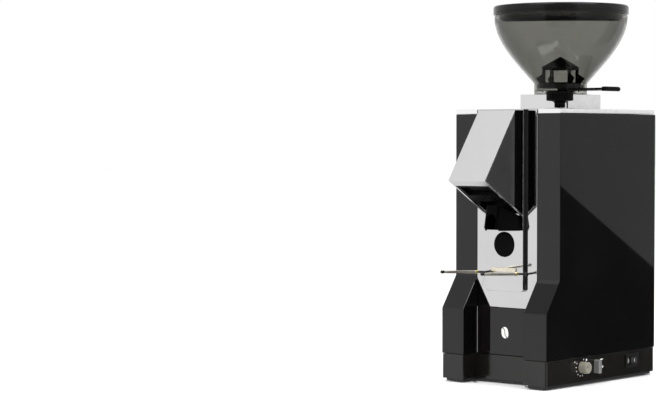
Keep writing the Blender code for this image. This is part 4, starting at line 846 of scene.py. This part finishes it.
TIMER, SELECTOR, ROCKER = (55.7, 17.3), (78.5, 16.4), (139.25, 17.0)


def print_on_side(name, outline):
    slab(name, outline, SIDE_X - 0.02, SIDE_X + 0.07, "X", print_white, "housing", "ivory_plastic")


def round_outline(centre, radius, steps=20):
    return arc(centre, radius, 0, 360 * (steps - 1) / steps, steps - 1)


def make_timer():
    """Ribbed dial with a pointer line, and the printed scale round it."""
    ribs, depth, back = 18, 0.28, 60.4

    def grip(radius_here, height, angle):
        if radius_here < 5.0:
            return radius_here
        return radius_here - depth * (0.5 + 0.5 * math.cos(ribs * angle)) ** 2 * min(1.0, (height - back) / 1.5)

    profile = [(3.3, back), (5.0, back), (5.4, 60.7), (5.4, 67.6), (5.25, 68.1), (4.9, 68.45), (4.3, 68.6),
               (3.6, 68.6), (3.3, 68.45), (0, 68.4), (0, 66.3), (3.3, 66.3)]
    turned("timer_dial", profile, (0, *TIMER), ivory, "timer", "ivory_plastic", axis="+X", steps=180, modulate=grip,
           replaces=("timer_knob",), angle=50.0)
    start, turn, ticks = 150, 270, 11
    slab("timer_pointer", stroke(TIMER, start, 1.0, 4.2, 0.35), 68.3, 68.58, "X", print_black, "timer",
         "black_plastic", rounding=0.05)
    for i in range(ticks):
        print_on_side("timer_tick_%02d" % i, stroke(TIMER, start + turn // (ticks - 1) * i, 7.3, 8.7, 0.3))
    print_on_side("timer_least", round_outline((TIMER[0] - 10.2, TIMER[1] + 5.4), 0.6))
    print_on_side("timer_most", round_outline((TIMER[0] + 8.6, TIMER[1] + 6.2), 1.0))


def make_selector():
    """Lever with moulded grip ribs, a pointer line and the two printed positions."""
    near, far, half, length = 60.4, 65.8, 2.6, 6.3
    low, high = (SELECTOR[0] - half, SELECTOR[1] - length), (SELECTOR[0] + half, SELECTOR[1] + length)
    lever = slab("selector_lever", round_box(low, high, 1.6, 6), near, far, "X", grey_plastic, None, None)
    grooves = []
    for i in range(9):
        z = SELECTOR[1] - 4.8 + 1.2 * i
        for side in (-1, 1):
            y = SELECTOR[0] + side * half
            box = rectangle(y - 0.28, z - 0.3, y + 0.28, z + 0.3)
            grooves.append(tool("cut_groove", box, near + 1.0, far + 1, "X"))
    carve(lever, grooves)
    soften(lever, 0.25, 2)
    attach(lever, "selector")
    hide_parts("mode_selector")
    line = round_box((SELECTOR[0] - 0.3, SELECTOR[1] + 1.5), (SELECTOR[0] + 0.3, SELECTOR[1] + 5.4), 0.25, 3)
    slab("selector_line", line, far - 0.03, far, "X", print_white, "selector", "ivory_plastic")
    print_on_side("selector_bar", round_box((87.0, 21.7), (91.2, 22.6), 0.3, 3))
    print_on_side("selector_dot", round_outline((90.8, 15.0), 0.95))


def make_rocker():
    """Rocker with a hollow on each half, and its O and I."""
    tilt, pivot_x = math.radians(9), 57.0
    turn_cos, turn_sin = math.cos(tilt), math.sin(tilt)

    def on_rocker(out, along, up):
        """A point given on the rocker, tilted about the pivot's axis."""
        return (pivot_x + out * turn_cos + along * turn_sin, ROCKER[0] - out * turn_sin + along * turn_cos,
                ROCKER[1] + up)

    end, half = 6.8, 3.3

    def hollowed(share):
        """How far out the face lies: share is 0 in its middle and 1 at its ends."""
        return 4.6 - 1.4 * math.sin(math.pi / 2 * (1 - share)) ** 1.2

    face = [(hollowed(abs(s)), s * end) for s in (i / 10 for i in range(-10, 11))]
    side_view = [(-3.0, 2.5), (-3.0, -2.5), (1.0, -end), *face, (1.0, end)]
    rings = [[on_rocker(out, along, up) for out, along in side_view] for up in (-half, half)]
    points, faces = rings_to_mesh(rings)
    build("power_rocker", points, faces, gloss, "rocker", "gloss_black", replaces=("rocker_switch",), rounding=0.3)

    def printed(name, outer, inner):
        """A flat mark laid on the rocker's face, between two outlines of (along, up) pairs."""
        points, faces = [], []
        for lift in (-0.05, 0.04):
            points.extend(on_rocker(hollowed(min(1.0, abs(a) / end)) + lift, a, u) for a, u in outer + inner)
        count = len(outer)
        span = 2 * count
        for j in range(count):
            k = (j + 1) % count
            faces.append((j, k, count + k, count + j))
            faces.append((span + j, span + count + j, span + count + k, span + k))
            faces.append((j, span + j, span + k, k))
            faces.append((count + j, count + k, span + count + k, span + count + j))
        build(name, points, faces, print_white, "rocker", "ivory_plastic")

    def oval(half_width, half_height, count=28):
        return [(-4.3 + half_width * math.cos(a), half_height * math.sin(a))
                for a in (2 * math.pi * i / count for i in range(count))]

    printed("rocker_off_mark", oval(1.15, 1.5), oval(0.88, 1.23))
    printed("rocker_on_mark", rectangle(4.07, -1.5, 4.33, 1.5), rectangle(4.19, -1.2, 4.21, 1.2))


make_timer()
make_selector()
make_rocker()


# ---------------------------------------------------------------- feet, gland and screws

PAD = [(0, 0.35), (4.2, 0.35), (4.6, 0.0), (7.7, 0.0), (8.3, 0.25), (8.5, 0.8), (8.5, 2.2), (0, 2.2)]
for place, (x, y) in {"front_left": (-47.3, 14), "front_right": (47.3, 14), "rear_left": (-47.3, 166),
                      "rear_right": (47.3, 166)}.items():
    turned("pad_" + place, PAD, (x, y, 0), rubber, "housing", "black_rubber", steps=64,
           replaces=("foot_" + place,))

GLAND = [(3.2, 170.3), (3.2, 181.6), (3.6, 182.1), (4.2, 182.3), (5.4, 182.3), (5.9, 181.9), (6.6, 181.6),
         (7.0, 181.2), (7.0, 180.35), (5.0, 180.3), (5.0, 170.3)]
turned("lead_gland", GLAND, (-35.0, 0, 15.0), rubber, "housing", "black_rubber", axis="+Y", steps=64,
       replaces=("cable_gland",))


def make_screw(name, place, axis, radius=2.6, height=0.75):
    """Domed screw head with a cross recess; place is the middle of its seat."""
    profile = [(0, height), (radius * 0.45, height * 0.95), (radius * 0.8, height * 0.7),
               (radius * 0.97, height * 0.35), (radius, 0), (0, 0)]
    if axis == "-Z":
        profile = [(r, -h) for r, h in profile]
        head = turned(name, profile, place, machined, None, None, steps=40)
    else:
        head = turned(name, profile, place, machined, None, None, axis="+Y", steps=40)
    x, y, z = place
    arm, half = radius * 0.62, 0.28
    cutters = []
    for wide, tall in ((arm, half), (half, arm)):
        if axis == "-Z":
            box = rectangle(x - wide, y - tall, x + wide, y + tall)
            cutters.append(tool("cut_cross", box, z - height * 2, z - height * 0.3, "Z"))
        else:
            box = rectangle(x - wide, z - tall, x + wide, z + tall)
            cutters.append(tool("cut_cross", box, y + height * 0.3, y + height * 2, "Y"))
    carve(head, cutters)
    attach(head, "housing")


for i, (x, z) in enumerate([(-47.5, 38.5), (47.5, 38.5), (-47.5, 239.5), (47.5, 239.5), (-47.5, 139), (47.5, 139)]):
    make_screw("cover_screw_%d" % i, (x, 181.5, z), "+Y")
for i, (x, y) in enumerate([(-30, 12), (30, 12), (-50, 90), (50, 90), (-30, 170), (30, 170)]):
    make_screw("sole_screw_%d" % i, (x, y, 1.0), "-Z", 2.4, 0.7)


# ---------------------------------------------------------------- final update

bpy.context.view_layer.update()
